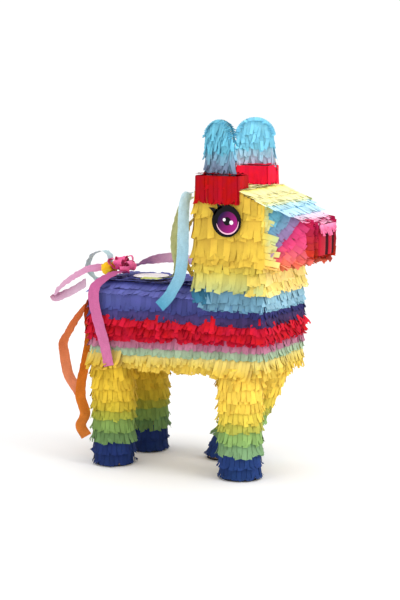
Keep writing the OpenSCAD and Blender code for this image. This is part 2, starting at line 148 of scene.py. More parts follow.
def named(tree, name, kind="FLOAT"):
    node = addNode(tree, "GeometryNodeInputNamedAttribute", data_type=kind)
    node.inputs["Name"].default_value = name
    return live(node.outputs, "Attribute")


def chance(tree, seed, kind="FLOAT_VECTOR"):
    node = addNode(tree, "FunctionNodeRandomValue", data_type=kind)
    feed(tree, node.inputs["Seed"], seed)
    return live(node.outputs, "Value")


# fringe: paper strips along rows, each row a line on the cardboard
fringeInputs = [
    ("Pitch", "NodeSocketFloat", 0.008),
    ("Header", "NodeSocketFloat", 0.4),
    ("Flare", "NodeSocketFloat", 0.14),
    ("Curl", "NodeSocketFloat", 0.25),
    ("Sway", "NodeSocketFloat", 0.25),
    ("Uneven", "NodeSocketFloat", 0.2),
    ("Slant", "NodeSocketFloat", 0.12),
    ("Twist", "NodeSocketFloat", 0.7),
    ("Taper", "NodeSocketFloat", 0.06),
    ("Ruffle", "NodeSocketFloat", 0.1),
    ("Ruffle Size", "NodeSocketFloat", 60.0),
    ("Lift", "NodeSocketFloat", 0.0009),
    ("Missing", "NodeSocketFloat", 0.02),
    ("Seed", "NodeSocketInt", 1),
    ("Material", "NodeSocketMaterial", None),
]


stripShape = dict(points=7, flarePower=1.4, curlMiddle=0.35, waveMiddle=0.45, firstLayer=0.3, leastLift=0.6)


def makeFringeTree():
    tree = bpy.data.node_groups.new("fringe rows", "GeometryNodeTree")
    tree.interface.new_socket("Geometry", in_out="INPUT", socket_type="NodeSocketGeometry")
    for name, kind, value in fringeInputs:
        socket = tree.interface.new_socket(name, in_out="INPUT", socket_type=kind)
        if value is not None:
            socket.default_value = value
    tree.interface.new_socket("Geometry", in_out="OUTPUT", socket_type="NodeSocketGeometry")
    given = addNode(tree, "NodeGroupInput").outputs

    def f(operation, *values):
        return calc(tree, operation, *values)

    def times(first, *others):
        for other in others:
            first = f("MULTIPLY", first, other)
        return first

    def centred(value, middle=0.5):
        return f("SUBTRACT", value, middle)

    def vectorNamed(name):
        return named(tree, name, "FLOAT_VECTOR")

    # points along each row, two for every strip, so that a second layer covers the gaps
    curve = addNode(tree, "GeometryNodeMeshToCurve", {"Mesh": given["Geometry"]}).outputs["Curve"]
    spaced = addNode(tree, "GeometryNodeResampleCurve", mode="LENGTH")
    feed(tree, spaced.inputs["Curve"], curve)
    feed(tree, live(spaced.inputs, "Length"), times(given["Pitch"], 0.5))
    points = spaced.outputs["Curve"]
    across = f("CROSS_PRODUCT", f("NORMALIZE", vectorNamed("out")), f("NORMALIZE", vectorNamed("down")))
    place = addNode(tree, "GeometryNodeInputPosition").outputs["Position"]
    index = addNode(tree, "GeometryNodeInputIndex").outputs["Index"]
    points = stored(tree, points, "root", "FLOAT_VECTOR", place)
    points = stored(tree, points, "side", "FLOAT_VECTOR", f("NORMALIZE", across))
    points = stored(tree, points, "layer", "FLOAT", f("MODULO", index, 2.0))
    points = stored(tree, points, "luckA", "FLOAT_VECTOR", chance(tree, given["Seed"]))
    points = stored(tree, points, "luckB", "FLOAT_VECTOR", chance(tree, f("ADD", given["Seed"], 50)))
    points = stored(tree, points, "tone", "FLOAT", chance(tree, f("ADD", given["Seed"], 90), "FLOAT"))

    # one strip, cut from a flat grid
    strip = addNode(tree, "GeometryNodeMeshGrid",
                    {"Size X": 2.0, "Size Y": 1.0, "Vertices X": 3,
                     "Vertices Y": stripShape["points"]}).outputs["Mesh"]
    grid = addNode(tree, "ShaderNodeSeparateXYZ", {"Vector": place}).outputs
    strip = stored(tree, strip, "across", "FLOAT", grid["X"])
    strip = stored(tree, strip, "reach", "FLOAT", f("SUBTRACT", 0.5, grid["Y"]))
    kept = f("GREATER_THAN", chance(tree, f("ADD", given["Seed"], 130), "FLOAT"), given["Missing"])
    strips = addNode(tree, "GeometryNodeInstanceOnPoints",
                     {"Points": points, "Instance": strip, "Selection": kept}).outputs["Instances"]
    strips = addNode(tree, "GeometryNodeRealizeInstances", {"Geometry": strips}).outputs["Geometry"]

    # each strip is hung from its root and bent by its own luck below the uncut header
    luckA, luckB = (addNode(tree, "ShaderNodeSeparateXYZ", {"Vector": vectorNamed(name)}).outputs
                    for name in ("luckA", "luckB"))
    reach, across, drop, flare, layer = (
        named(tree, name) for name in ("reach", "across", "drop", "flare", "layer"))
    root, side, out, down = (vectorNamed(name) for name in ("root", "side", "out", "down"))
    half = times(given["Pitch"], 0.5)
    cut = addNode(tree, "ShaderNodeMapRange", {"Value": reach, "From Min": given["Header"]}).outputs["Result"]
    bend = times(cut, cut)
    longer = times(centred(luckA["X"]), given["Uneven"])
    slanted = times(across, centred(luckB["Y"]), given["Slant"])
    hang = times(f("MULTIPLY_ADD", cut, f("ADD", longer, slanted), reach), drop)
    narrow = f("SUBTRACT", 1.0, times(cut, given["Taper"]))
    swayed = times(centred(luckA["Z"]), given["Sway"], times(bend, drop))
    along = f("ADD", times(across, half, narrow), swayed)
    flared = times(given["Flare"], flare, f("POWER", reach, stripShape["flarePower"]))
    curled = times(centred(luckA["Y"], stripShape["curlMiddle"]), given["Curl"], bend)
    twisted = times(across, centred(luckB["X"]), times(cut, given["Twist"]))
    hanging = f("ADD", root, f("SCALE", down, hang))
    waves = addNode(tree, "ShaderNodeTexNoise",
                    {"Vector": hanging, "Scale": given["Ruffle Size"], "Detail": 1.0})
    wave = times(centred(waves.outputs["Fac"], stripShape["waveMiddle"]), times(given["Ruffle"], reach))
    proud = times(f("ADD", f("ADD", flared, curled), wave), drop)
    proud = f("ADD", proud, times(twisted, half))
    lifted = times(given["Lift"], f("ADD", layer, stripShape["firstLayer"]))
    proud = f("MAXIMUM", f("ADD", proud, lifted), times(lifted, stripShape["leastLift"]))
    where = f("ADD", hanging, f("ADD", f("SCALE", side, along), f("SCALE", out, proud)))
    strips = addNode(tree, "GeometryNodeSetPosition",
                     {"Geometry": strips, "Position": where}).outputs["Geometry"]
    weave = addNode(tree, "ShaderNodeCombineXYZ", {"X": along, "Y": hang, "Z": f("ADD", luckB["Z"], layer)})
    strips = stored(tree, strips, "weave", "FLOAT_VECTOR", weave.outputs["Vector"])
    strips = addNode(tree, "GeometryNodeSetShadeSmooth", {"Geometry": strips}).outputs["Geometry"]
    strips = addNode(tree, "GeometryNodeSetMaterial", {"Geometry": strips, "Material": given["Material"]})
    tree.links.new(strips.outputs["Geometry"], addNode(tree, "NodeGroupOutput").inputs["Geometry"])
    return tree


fringeTree = makeFringeTree()
fringeSocket = {s.name: s.identifier for s in fringeTree.interface.items_tree if s.in_out == "INPUT"}


def startMaterial(name):
    material = bpy.data.materials.new(name)
    material.use_nodes = True
    tree = material.node_tree
    shader = next(n for n in tree.nodes if n.type == "BSDF_PRINCIPLED")
    return material, tree, shader


def ranged(tree, value, low, high):
    node = addNode(tree, "ShaderNodeMapRange", {"Value": value, "To Min": low, "To Max": high})
    return node.outputs["Result"]


def textured(tree, vector, scale, detail, stretch=(1, 1, 1)):
    placed = addNode(tree, "ShaderNodeMapping", {"Vector": vector, "Scale": stretch})
    made = addNode(tree, "ShaderNodeTexNoise",
                   {"Vector": placed.outputs["Vector"], "Scale": scale, "Detail": detail})
    return made.outputs["Fac"]


def bumps(tree, shader, *layers):
    normal = None
    for height, strength, distance in layers:
        node = addNode(tree, "ShaderNodeBump", {"Height": height, "Strength": strength, "Distance": distance})
        if normal:
            tree.links.new(normal, node.inputs["Normal"])
        normal = node.outputs["Normal"]
    tree.links.new(normal, shader.inputs["Normal"])


def mixed(tree, factor, first, second, blend="MIX"):
    node = addNode(tree, "ShaderNodeMix", data_type="RGBA", blend_type=blend)
    for name, value in (("Factor", factor), ("A", first), ("B", second)):
        feed(tree, live(node.inputs, name), value)
    return live(node.outputs, "Result")


def dressPaper(tree, shader, colour, shade, rough, gloss, layers, hue=0.5):
    toned = addNode(tree, "ShaderNodeHueSaturation", {"Color": colour, "Value": shade, "Hue": hue})
    tree.links.new(toned.outputs["Color"], shader.inputs["Base Color"])
    tree.links.new(rough, shader.inputs["Roughness"])
    shader.inputs["Specular IOR Level"].default_value = gloss
    bumps(tree, shader, *layers)


def objectSpot(tree):
    return addNode(tree, "ShaderNodeTexCoord").outputs["Object"]


# tissue paper: each strip has its own tone, takes another colour to its tip and is finely creased
tissueLook = dict(tone=(0.8, 1.12), mottle=(0.84, 1.16), folds=(0.9, 1.1), hue=(0.492, 0.508),
                  roughness=(0.62, 0.88), creaseScale=520, foldScale=110, cloudScale=70, gloss=0.12)


def tissueMaterial(name, look=tissueLook):
    material, tree, shader = startMaterial(name)

    def strip(attribute, output):
        return addNode(tree, "ShaderNodeAttribute", attribute_name=attribute).outputs[output]

    weave = strip("weave", "Vector")
    cloud = textured(tree, objectSpot(tree), look["cloudScale"], 3)
    crease = textured(tree, weave, look["creaseScale"], 2, (1, 0.12, 1))
    fold = textured(tree, weave, look["foldScale"], 2, (1, 0.6, 1))
    shade = ranged(tree, strip("tone", "Fac"), *look["tone"])
    shade = calc(tree, "MULTIPLY", shade, ranged(tree, cloud, *look["mottle"]))
    shade = calc(tree, "MULTIPLY", shade, ranged(tree, fold, *look["folds"]))
    # root to tip the colour runs to the tip colour: partly the row beneath showing through, and where the tip
    # colour is lighter, painted light for light through the single layer
    colour = mixed(tree, strip("reach", "Fac"), strip("paper", "Color"), strip("tip", "Color"))
    dressPaper(tree, shader, colour, shade, ranged(tree, crease, *look["roughness"]), look["gloss"],
               [(crease, 0.35, 0.0006), (fold, 0.6, 0.0016)], ranged(tree, cloud, *look["hue"]))
    return material


def addPiece(name, mesh, nodes, body="shell"):
    piece = bpy.data.objects.new(name, mesh)
    bpy.context.scene.collection.objects.link(piece)
    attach(piece, body)
    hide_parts(*nodes)
    return piece


keptAttributes = ("position", "paper", "tip", "reach", "tone", "weave", ".edge_verts", ".corner_vert",
                  ".corner_edge", "material_index", "sharp_face", "sharp_edge")
rowAttributes = {"out": ("FLOAT_VECTOR", "vector"), "down": ("FLOAT_VECTOR", "vector"),
                 "drop": ("FLOAT", "value"), "flare": ("FLOAT", "value"), "paper": ("FLOAT_COLOR", "color"),
                 "tip": ("FLOAT_COLOR", "color")}


def makeFringe(name, rows, look, nodes, body="shell", seed=1):
    # grows strips on the rows, keeps them as a plain mesh and lets it stand for the CAD nodes
    points = []
    edges = []
    layers = {key: [] for key in rowAttributes}
    for row in rows:
        start = len(points)
        count = len(row["points"])
        for i, (place, out) in enumerate(zip(row["points"], row["outs"])):
            points.append(at(*(place + out * row["proud"])))
            layers["out"] += [*out]
            layers["down"] += [*row["down"].normalized()]
            layers["drop"].append((row["drop"][i] if isinstance(row["drop"], list) else row["drop"]) / 1000)
            layers["flare"].append(row["flare"])
            share = row["share"](place)
            for key in ("paper", "tip"):
                first, last = (hexColour(c) for c in row[key])
                layers[key] += [a + (b - a) * share for a, b in zip(first, last)]
        edges += [(start + i, start + i + 1) for i in range(count - 1)]
        if row["closed"]:
            edges.append((start + count - 1, start))
    mesh = bpy.data.meshes.new(name + "Rows")
    mesh.from_pydata(points, edges, [])
    for key, values in layers.items():
        kind, field = rowAttributes[key]
        mesh.attributes.new(key, kind, "POINT").data.foreach_set(field, values)
    guide = bpy.data.objects.new(name + "Rows", mesh)
    bpy.context.scene.collection.objects.link(guide)
    modifier = guide.modifiers.new("fringe", "NODES")
    modifier.node_group = fringeTree
    for key, value in {**look, "Seed": seed, "Material": tissueMaterial(name)}.items():
        modifier[fringeSocket[key]] = value
    graph = bpy.context.evaluated_depsgraph_get()
    made = bpy.data.meshes.new_from_object(guide.evaluated_get(graph), preserve_all_data_layers=True,
                                           depsgraph=graph)
    for key in [a.name for a in made.attributes if a.name not in keptAttributes]:
        made.attributes.remove(made.attributes[key])
    made.name = name
    bpy.data.objects.remove(guide)
    addPiece(name, made, nodes, body)
    print(name, len(made.polygons), "faces")


def pair(value):
    return value if isinstance(value, tuple) else (value, value)


def rearToFront(place):
    return min(1, max(0, (place.x - rumpX) / (chestX - rumpX)))


def makeRow(points, outs, down, drop, paper, tip=None, closed=False, flare=1.0, proud=1.0, share=rearToFront):
    return dict(points=points, outs=outs, down=down, drop=drop, paper=pair(paper), tip=pair(tip or paper),
                closed=closed, flare=flare, proud=proud, share=share)


def rounded(corners, radius, closed=True, steps=4):
    # a path with rounded corners that turns left, and the way out, on its right, at each point
    corners = [Vector(c) for c in corners]
    count = len(corners)
    result = []
    for i, corner in enumerate(corners):
        before = (corner - corners[i - 1]).normalized()
        after = (corners[(i + 1) % count] - corner).normalized()
        if not closed and i in (0, count - 1):
            way = after if i == 0 else before
            result.append((corner, Vector((way.y, -way.x))))
            continue
        outBefore = Vector((before.y, -before.x))
        outAfter = Vector((after.y, -after.x))
        centre = corner - (outBefore + outAfter) * radius / (1 + outBefore.dot(outAfter))
        for k in range(steps + 1):
            out = outBefore.lerp(outAfter, k / steps).normalized()
            result.append((centre + out * radius, out))
    return result


straightDown = Vector((0, 0, -1))


def footRow(corners, z, drop, paper, tip=None, radius=7, closed=True, rise=0, **more):
    # a row round a footprint, level or climbing towards the chest
    path = rounded(corners, radius, closed)
    points = [Vector((p.x, p.y, z + rise * rearToFront(p))) for p, out in path]
    outs = [Vector((out.x, out.y, 0)) for p, out in path]
    return makeRow(points, outs, straightDown, drop, paper, tip, closed, **more)


def lineRow(start, end, out, down, drop, paper, tip=None, **more):
    return makeRow([Vector(start), Vector(end)], [Vector(out).normalized()] * 2, Vector(down), drop, paper,
                   tip, **more)


bodyFoot = [(rumpX, -halfW), (chestX, -halfW), (chestX, halfW), (rumpX, halfW)]
headFoot = [(napeX, -halfW), (chestX, -halfW), (chestX, halfW), (napeX, halfW)]
print("rows of the body")

bodyLook = dict(Pitch=0.0085, Header=0.45, Flare=0.13, Curl=0.22, Sway=0.18)
makeFringe("bodyNavyFringe", [
    footRow(bodyFoot, eavesZ + 2, 24, ("5c62a4", "35356e"), ("4c5296", "2e2e66"), flare=0.9),
    footRow(bodyFoot, 252, 25, ("43498e", "3a3468"), ("473c72", "3e2c54")),
], dict(bodyLook, Header=0.7, Ruffle=0.2), ["tissue_body_navy"], seed=11)
makeFringe("bodyRedFringe", [
    footRow(bodyFoot, 240, 24, "c00c26", "d01530", flare=1.1),
    footRow(bodyFoot, 226, 24, "b80a22", "c81228", rise=4),
    footRow(bodyFoot, 213, 21, "c00c26", "c41030", rise=9, flare=0.8),
], {**bodyLook, "Pitch": 0.007, "Header": 0.3, "Flare": 0.22, "Ruffle": 0.9, "Ruffle Size": 75.0,
    "Curl": 0.4},
    ["tissue_body_red"], seed=12)
makeFringe("bodyPinkFringe", [
    footRow(bodyFoot, 205, 23, "c84a78", "b47a90", rise=8),
], dict(bodyLook, Pitch=0.006, Uneven=0.12), ["tissue_body_pink"], seed=13)
makeFringe("bodyMintFringe", [
    footRow(bodyFoot, 194, 23, "a8a096", "9cb894", rise=8),
], dict(bodyLook, Pitch=0.006, Uneven=0.14), ["tissue_body_mint"], seed=14)

# belly: rows across it, left open where the legs meet it
legY = (nodeBox("hoof_rear_left")[0].y + nodeBox("hoof_rear_left")[1].y) / 2
legSpacing = 212
leftForeRake = 76
legSides = [(0, -legY, 0), (0, legY, 0), (legSpacing, -legY, 0), (legSpacing, legY, leftForeRake)]
bellyShape = dict(rows=15, step=19.5, drop=22, legOpening=34, look=("c9a12c", "d9b53f"))
legTopShape = dict(rows=((178, 25, 28), (171, 28, 24)), look=(("d8c070", "e0c874"), ("e0b93a", "eecb4e")))


def bellyRows(shape):
    rows = []
    opening = shape["legOpening"]
    for i in range(shape["rows"]):
        x = chestX - 1 - i * shape["step"]
        drop = min(shape["drop"], x - rumpX - 1)
        ends = halfW - 1
        for legX in (0, legSpacing):
            if abs(x - legX) < opening - 1:
                ends = legY - math.sqrt(opening ** 2 - (x - legX) ** 2)
        if ends > 6:
            rows.append(lineRow((x, -ends, bellyZ), (x, ends, bellyZ), (0, 0, -1), (-1, 0, 0), drop,
                                *shape["look"], flare=0.7))
    return rows


def legTopRows(shape):
    # strips of the hem that spread over the top of each leg, where it stands out past the side
    rows = []
    for legX in (0, legSpacing):
        for hand in (-1, 1):
            y = hand * (halfW + 1)
            for z, half, drop in shape["rows"]:
                rows.append(lineRow((legX - half, y, z), (legX + half, y, z), (0, hand, 0.3),
                                    (0, hand * 0.5, -1), drop, *shape["look"], flare=0.5, proud=1.5))
    return rows


makeFringe("bodyYellowFringe", [
    footRow(bodyFoot, 184, 26, ("cfc08a", "d6cc8e"), ("dcc050", "e4c85a"), rise=6),
    footRow(bodyFoot, 172, 20, "d8b848", "e0bd4a", flare=0.7),
] + bellyRows(bellyShape) + legTopRows(legTopShape), dict(bodyLook, Pitch=0.006, Uneven=0.3, Curl=0.3),
    ["tissue_body_yellow"], seed=15)
print("rows of the back")

# back: rows run from rump to nape and hang to each side, open round the flap
slope = Vector((0, halfW - halfFlat, eavesZ - backZ)).normalized()
flapLow, flapHigh = nodeBox("fill_flap")


def backRow(y, hand, x0, x1, drop, colours, proud=1.0, **more):
    steep = y >= halfFlat
    z = backZ - max(0, y - halfFlat) * (backZ - eavesZ) / (halfW - halfFlat)
    down = Vector((0, slope.y * hand, slope.z)) if steep else Vector((0, hand, 0))
    out = Vector((0, -slope.z * hand, slope.y)) if steep else Vector((0, 0, 1))
    return lineRow((x0, y * hand, z), (x1, y * hand, z), out, down, drop, *colours, proud=proud, **more)


backColours = ("5a5ea8", "666ab4")
rumpEdge = ((-halfW, eavesZ), (-halfFlat, backZ), (halfFlat, backZ), (halfW, eavesZ))
backRows = [makeRow([Vector((rumpX, y, z)) for y, z in rumpEdge], [Vector((-1, 0, 0))] * 4, straightDown, 24,
                    "4a3f70", "4e3a62")]
flapRows = []
for hand in (-1, 1):
    for y, drop in ((-1, 19), (17, 18)):
        backRows.append(backRow(y, hand, rumpX, flapLow.x - 2, drop, backColours))
        backRows.append(backRow(y, hand, flapHigh.x + 3.5, napeX - 3, drop, backColours))
        flapRows.append(backRow(y, hand, flapLow.x + 1, flapHigh.x - 7, drop + 1, backColours, proud=2.6))
    for y in (33, 45, 58):
        backRows.append(backRow(y, hand, rumpX, napeX - 1, 22, backColours))
backLook = dict(bodyLook, Flare=0.05, Header=0.6, Curl=0.1, Twist=0.25, Ruffle=0.05)
makeFringe("backFringe", backRows, backLook, ["tissue_back"], seed=21)
makeFringe("flapFringe", flapRows, dict(backLook, Flare=0.03, Curl=0.05, Lift=0.0006), ["tissue_flap"],
           body="flap", seed=22)
print("rows of the neck and head")

neckStart = napeX + 14
chestPath = [(neckStart, -halfW), (chestX, -halfW), (chestX, halfW), (neckStart, halfW)]


# rows that change colour on the chest face take a lighter copy of their paper there, painted light for the
# light falling on the chest
def chestLitShare(place):
    return 1.0 if place.x > chestX - 2 else 0.0


def chestRow(path, z, drop, paper, tip, flare=1.0):
    # a row that takes its second colour on the chest, a lighter copy of its paper painted for the light on
    # the chest face
    return footRow(path, z, drop, paper, tip, closed=False, share=chestLitShare, flare=flare)


def napeRow(first, second):
    return lineRow(first, second, (0, math.copysign(1, first[1]), 0), (0.3, 0, -1), 22, "2f6480", "3a7896",
                   flare=1.6)


# in the rows below that change colour on the chest, the chest colour is a copy painted lighter, as painted
# light for the light on the chest face
makeFringe("neckBlueFringe", [
    napeRow((napeX - 2, -halfW, 279), (neckStart + 6, -halfW, 279)),
    napeRow((neckStart + 6, halfW, 279), (napeX - 2, halfW, 279)),
    chestRow(chestPath, 281, 22, ("6a96ae", "8cb8cc"), ("6c98ae", "94c0d2"), 0.8),
    chestRow(chestPath, 275, 24, ("5f8aa2", "84b2c8"), ("6c98ae", "90bcd0")),
    chestRow(chestPath, 268, 20, ("4f7896", "74a4bc"), ("5c86a4", "80aec4"), 0.8),
], dict(bodyLook, Header=0.25), ["tissue_neck_blue"], seed=31)
makeFringe("neckGreenFringe", [
    footRow(headFoot, 308, 31, ("d8c450", "f0d868"), ("bcc27c", "f2de80"), share=chestLitShare),
], dict(bodyLook, Header=0.4, Pitch=0.0105), ["tissue_neck_green"], seed=32)

backOfHead = [(chestX, halfW), (napeX, halfW), (napeX, -halfW), (chestX, -halfW)]
topOfHead = [(browX + 2, halfW), (napeX, halfW), (napeX, -halfW), (browX + 2, -halfW)]
chestFront = [(chestX - 16, -halfW), (chestX, -halfW), (chestX, halfW), (chestX - 16, halfW)]
headYellow = ("d8b242", "deba44")
makeFringe("headYellowFringe", [
    footRow(headFoot, 332, 28, ("e2c04a", "f2d466"), ("d8c04e", "f6dc78"), share=chestLitShare),
    chestRow(chestFront, 300, 27, ("e6cc58", "fbe282"), ("ecd468", "ffe994"), 2.2),
    chestRow(chestFront, 315, 26, ("e6cc58", "fbe282"), ("ecd468", "ffe994"), 1.7),
] + [footRow(path, z, drop, *headYellow, closed=False) for path, z, drop in (
    (backOfHead, 346, 32), (backOfHead, 358, 34), (backOfHead, 386, 33), (backOfHead, 402, 20),
    (topOfHead, crownZ - 0.5, 36))
] + [lineRow((browX - 2, halfW * hand, crownZ - 1), (chestX, halfW * hand, browZ - 1), (0, hand, 0),
             straightDown, 22, *headYellow, flare=0.6, proud=1.4) for hand in (-1, 1)],
    dict(bodyLook, Pitch=0.0105, Header=0.5, Flare=0.1, Curl=0.18), ["tissue_head_yellow"],
    seed=33)

# crown and forehead: strips lie forward, over the ridge of the brow
crownColours = ("fff4a2", "fffabc")
crownRows = []
for i in range(8):
    x = napeX - 1 + i * 13
    z = crownZ
    out = (0, 0, 1)
    lie = (1, 0, 0)
    drop = min(26, browX + 5 - x)
    if x >= browX - 7:
        x = max(x, browX)
        z = crownZ - (x - browX) * foreheadDrop / foreheadLength
        out = (foreheadDrop, 0, foreheadLength)
        lie = (foreheadLength, 0, -foreheadDrop)
        drop = 24
    crownRows.append(lineRow((x, halfW + 1, z), (x, -halfW - 1, z), out, lie, drop, *crownColours))
flatLook = dict(bodyLook, Pitch=0.0075, Flare=0.05, Curl=0.09, Twist=0.2, Ruffle=0.03)
makeFringe("crownFringe", crownRows, flatLook, ["tissue_crown"], seed=34)
print("rows of the snout")

snoutLength = noseX - chestX
muzzleHalf = muzzleHigh.y


def snoutAt(x):
    # half width, lower and upper edge of the snout at a length
    t = (x - chestX) / snoutLength
    return (halfW + t * (muzzleHalf - halfW), throatZ + t * (muzzleLow.z - throatZ),
            browZ + t * (muzzleHigh.z - browZ))


rowTilt = Vector((-44, -62))


def cheekShare(place):
    # colours of the cheek run from the throat up to the brow
    return min(1, max(0, (place.z - throatZ - 4) / 30))


def cheekRow(x, hand, drop, paper, tip, **more):
    # a row down the cheek, from the upper edge at x, slanting back to the throat
    top = snoutAt(min(x, noseX))[2]
    inside = []
    for i in range(-40, 90):
        spot = Vector((x, top)) + rowTilt * i / 50
        if chestX <= spot.x <= noseX - 8:
            half, low, high = snoutAt(spot.x)
            if low <= spot.y <= high:
                inside.append(Vector((spot.x, half * hand, spot.y)))
    if len(inside) < 8:
        return None
    forward = Vector((snoutLength, (muzzleHalf - halfW) * hand, 0)).normalized()
    out = Vector((-forward.y * hand, forward.x * hand, 0))
    lie = forward * 0.75 + Vector((0, 0, -0.66))
    points = inside[::5] + [inside[-1]]
    room = [max(4, min(drop, (noseX - 4 - p.x) / lie.x)) for p in points]
    return makeRow(points, [out] * len(points), lie, room, paper, tip, share=cheekShare, **more)


def cheekHemRows():
    # yellow strips that hide the joint between the head and the cheek
    rows = []
    for hand in (-1, 1):
        lie = Vector((snoutLength, (muzzleHalf - halfW) * hand, -0.3 * snoutLength))
        for x, low, high, drop in ((chestX - 1, throatZ + 2, browZ - 1, 13),
                                   (chestX + 1, throatZ, throatZ + 42, 19)):
            rows.append(lineRow((x, halfW * hand, low), (x, halfW * hand, high), (0.6, hand, 0), lie, drop,
                                ("e8c44c", "dcc44c"), ("e6cc7c", "b4c48c"), share=cheekShare, flare=0.8,
                                proud=3.2))
    return rows


def topRow(x, drop, paper, tip, **more):
    half, low, high = snoutAt(x)
    lie = Vector((snoutLength, 0, muzzleHigh.z - browZ))
    out = (-lie.z, 0, lie.x)
    return lineRow((x, half + 1, high), (x, -half - 1, high), out, lie, drop, paper, tip, **more)


def chinRow(x, drop, paper, tip, **more):
    half, low, high = snoutAt(x)
    return lineRow((x, -half, low), (x, half, low), (0.25, 0, -1), (1, 0, -0.2), drop, paper, tip, **more)


def cheekRows(settings):
    rows = [cheekRow(x, hand, drop, paper, tip, flare=flare)
            for x, drop, paper, tip, flare in settings for hand in (-1, 1)]
    return [r for r in rows if r]


snoutLook = dict(bodyLook, Pitch=0.0085, Flare=0.12, Header=0.4, Uneven=0.3)
makeFringe("snoutBlueFringe", cheekRows([
    (256, 18, ("e8d070", "b4d4b0"), ("e0cc80", "8cc8cc"), 1.0),
    (264, 19, ("dcc478", "64aac0"), ("ccb888", "6cacc0"), 1.0),
    (274, 19, ("c8a080", "5a98b4"), ("bc98a0", "7494b0"), 1.0),
]), snoutLook, ["tissue_snout_blue"], seed=41)
makeFringe("cheekHemFringe", cheekHemRows(), dict(snoutLook, Uneven=0.9, Header=0.2), ["tissue_snout_blue"],
           seed=45)
makeFringe("snoutTopFringe", [
    topRow(246, 20, "fff8b8", "eaf6d4"),
    topRow(256, 20, "d4f0ee", "b8e6f8"),
    topRow(270, 24, "b4e2f6", "c8ecfc"),
], flatLook, ["tissue_snout_blue"], seed=44)
makeFringe("snoutLilacFringe", cheekRows([
    (284, 19, ("eab45c", "887aa2"), ("ecae58", "8e74a0"), 1.0),
]) + [topRow(288, 20, "dcdcf0", "f2c8dc", flare=0.7)], snoutLook, ["tissue_snout_lilac"],
    seed=42)
makeFringe("snoutPinkFringe", cheekRows([
    (296, 19, ("ec6a60", "c8306c"), ("ee7458", "dc4474"), 1.0),
    (308, 19, ("ec7456", "dc3c74"), ("f08054", "ea5484"), 1.2),
    (320, 19, ("e86a50", "e04878"), ("ee7a58", "ec5c86"), 1.2),
    (333, 18, ("e06048", "d83c70"), ("ec7454", "e05080"), 1.2),
    (347, 16, ("d85a44", "c82c64"), ("e87450", "d84474"), 1.3),
]) + [topRow(297, 17, "f088b0", "f8a4c6"), topRow(306, 14, "f078a4", "fab4d0", flare=1.3),
      topRow(noseX - 7, 9, "e8649a", "f48cb4"),
      chinRow(258, 18, "f0c060", "f5c779"), chinRow(272, 18, "ef8a6d", "f5a779"),
      chinRow(288, 18, "ef7a6d", "f09070"), chinRow(300, 9, "e8604e", "ef7a6d", flare=0.4)],
    snoutLook, ["tissue_snout_pink"], seed=43)
print("rows of the legs")

legHeight = bellyZ
hoofR = 27
thighR = 30


def legRow(leg, z, drop, paper, tip, **more):
    x, y, rake = leg
    x = x - rake * (1 - z / legHeight)
    r = hoofR + (thighR - hoofR) * z / legHeight
    angles = [2 * math.pi * i / 28 for i in range(28)]
    outs = [Vector((math.cos(a), math.sin(a), 0)) for a in angles]
    slant = math.hypot(1, rake / legHeight)
    points = [Vector((x + out.x * r * slant, y + out.y * r, z)) for out in outs]
    return makeRow(points, outs, Vector((-rake, 0, -legHeight)), drop, paper, tip, closed=True, **more)


def legRows(settings):
    return [legRow(leg, z, drop, paper, tip, flare=flare)
            for z, drop, paper, tip, flare in settings for leg in legSides]


legLook = dict(bodyLook, Pitch=0.0068, Flare=0.13, Curl=0.25, Uneven=0.22)
# each leg colour is a pair running from the rear legs to the front legs; the front legs' lighter copy is
# painted light, for the light on the front of the animal
makeFringe("legYellowFringe", legRows([
    (166, 31, ("dcb62e", "f0cc52"), ("dcb62e", "f0cc52"), 0.8),
    (142, 24, ("dcb62e", "f0cc52"), ("e0bb34", "f0cc52"), 1.0),
    (125, 24, ("dcb62e", "eecb4e"), ("d8b833", "eecb4e"), 1.0),
    (109, 24, ("d2b02c", "e4c84a"), ("c0ac30", "dcc44a"), 1.0),
    (94, 22, ("aca234", "ccc048"), ("9ca23a", "b8b850"), 1.0),
]), legLook, ["tissue_leg_yellow"], seed=51)
makeFringe("legGreenFringe", legRows([
    (77, 23, ("7c9448", "90b060"), ("74924c", "88ae66"), 1.0),
    (61, 24, ("5e7c44", "74986a"), ("64844e", "7ca074"), 1.5),
]), legLook, ["tissue_leg_green"], seed=52)
makeFringe("legNavyFringe", legRows([
    (44, 25, ("1a2a5c", "223c74"), ("1c2c60", "243e78"), 0.7),
    (27, 24, ("182858", "203a70"), ("1a2a5c", "223c72"), 0.5),
]), dict(legLook, Header=0.8, Ruffle=0.3, Uneven=0.08), ["tissue_leg_navy"], seed=53)

# ears: a flat rounded card in a block of red paper
earX = napeX + 34
earY = 60
earTurn = math.radians(22)
earHalf = 26
earHeight = 100
earFlatTop = crownZ + earHeight - earHalf
blockShape = dict(rear=28, outer=81, inner=44, sideHem=424, faceHem=404, topRows=(43, 55, 67), topDrop=14)
earShapes = {"right": dict(hand=-1, blue=("7ac8e0", "6cc0da"), pale=("7aa2b8", "7888a4"), red="b00212",
                           front=37, top=443),
             "left": dict(hand=1, blue=("88d4ee", "80d0ec"), pale=("a4c4d8", "b4b8ce"), red="f0143a",
                          front=28, top=451)}


def earPlace(hand, x, y, z):
    # a spot on the right ear, turned to face outwards, or its like on the left one
    c, s = math.cos(earTurn), math.sin(earTurn)
    return Vector((earX + x * c + y * s, hand * (earY + x * s - y * c), z))


def earRow(hand, z, drop, colours, flare):
    # a row round the flat of the ear at a height
    half = math.sqrt(max(4, earHalf ** 2 - max(0, z - earFlatTop) ** 2))
    path = rounded([(-half, -3), (half, -3), (half, 3), (-half, 3)], 2.6, True, 3)
    middle = earPlace(hand, 0, 0, 0)
    points = [earPlace(hand, p.x, p.y, z) for p, out in path]
    outs = [earPlace(hand, out.x, out.y, 0) - middle for p, out in path]
    if hand > 0:
        points.reverse()
        outs.reverse()
    return makeRow(points, outs, straightDown, drop, *colours, closed=True, proud=0.4, flare=flare)


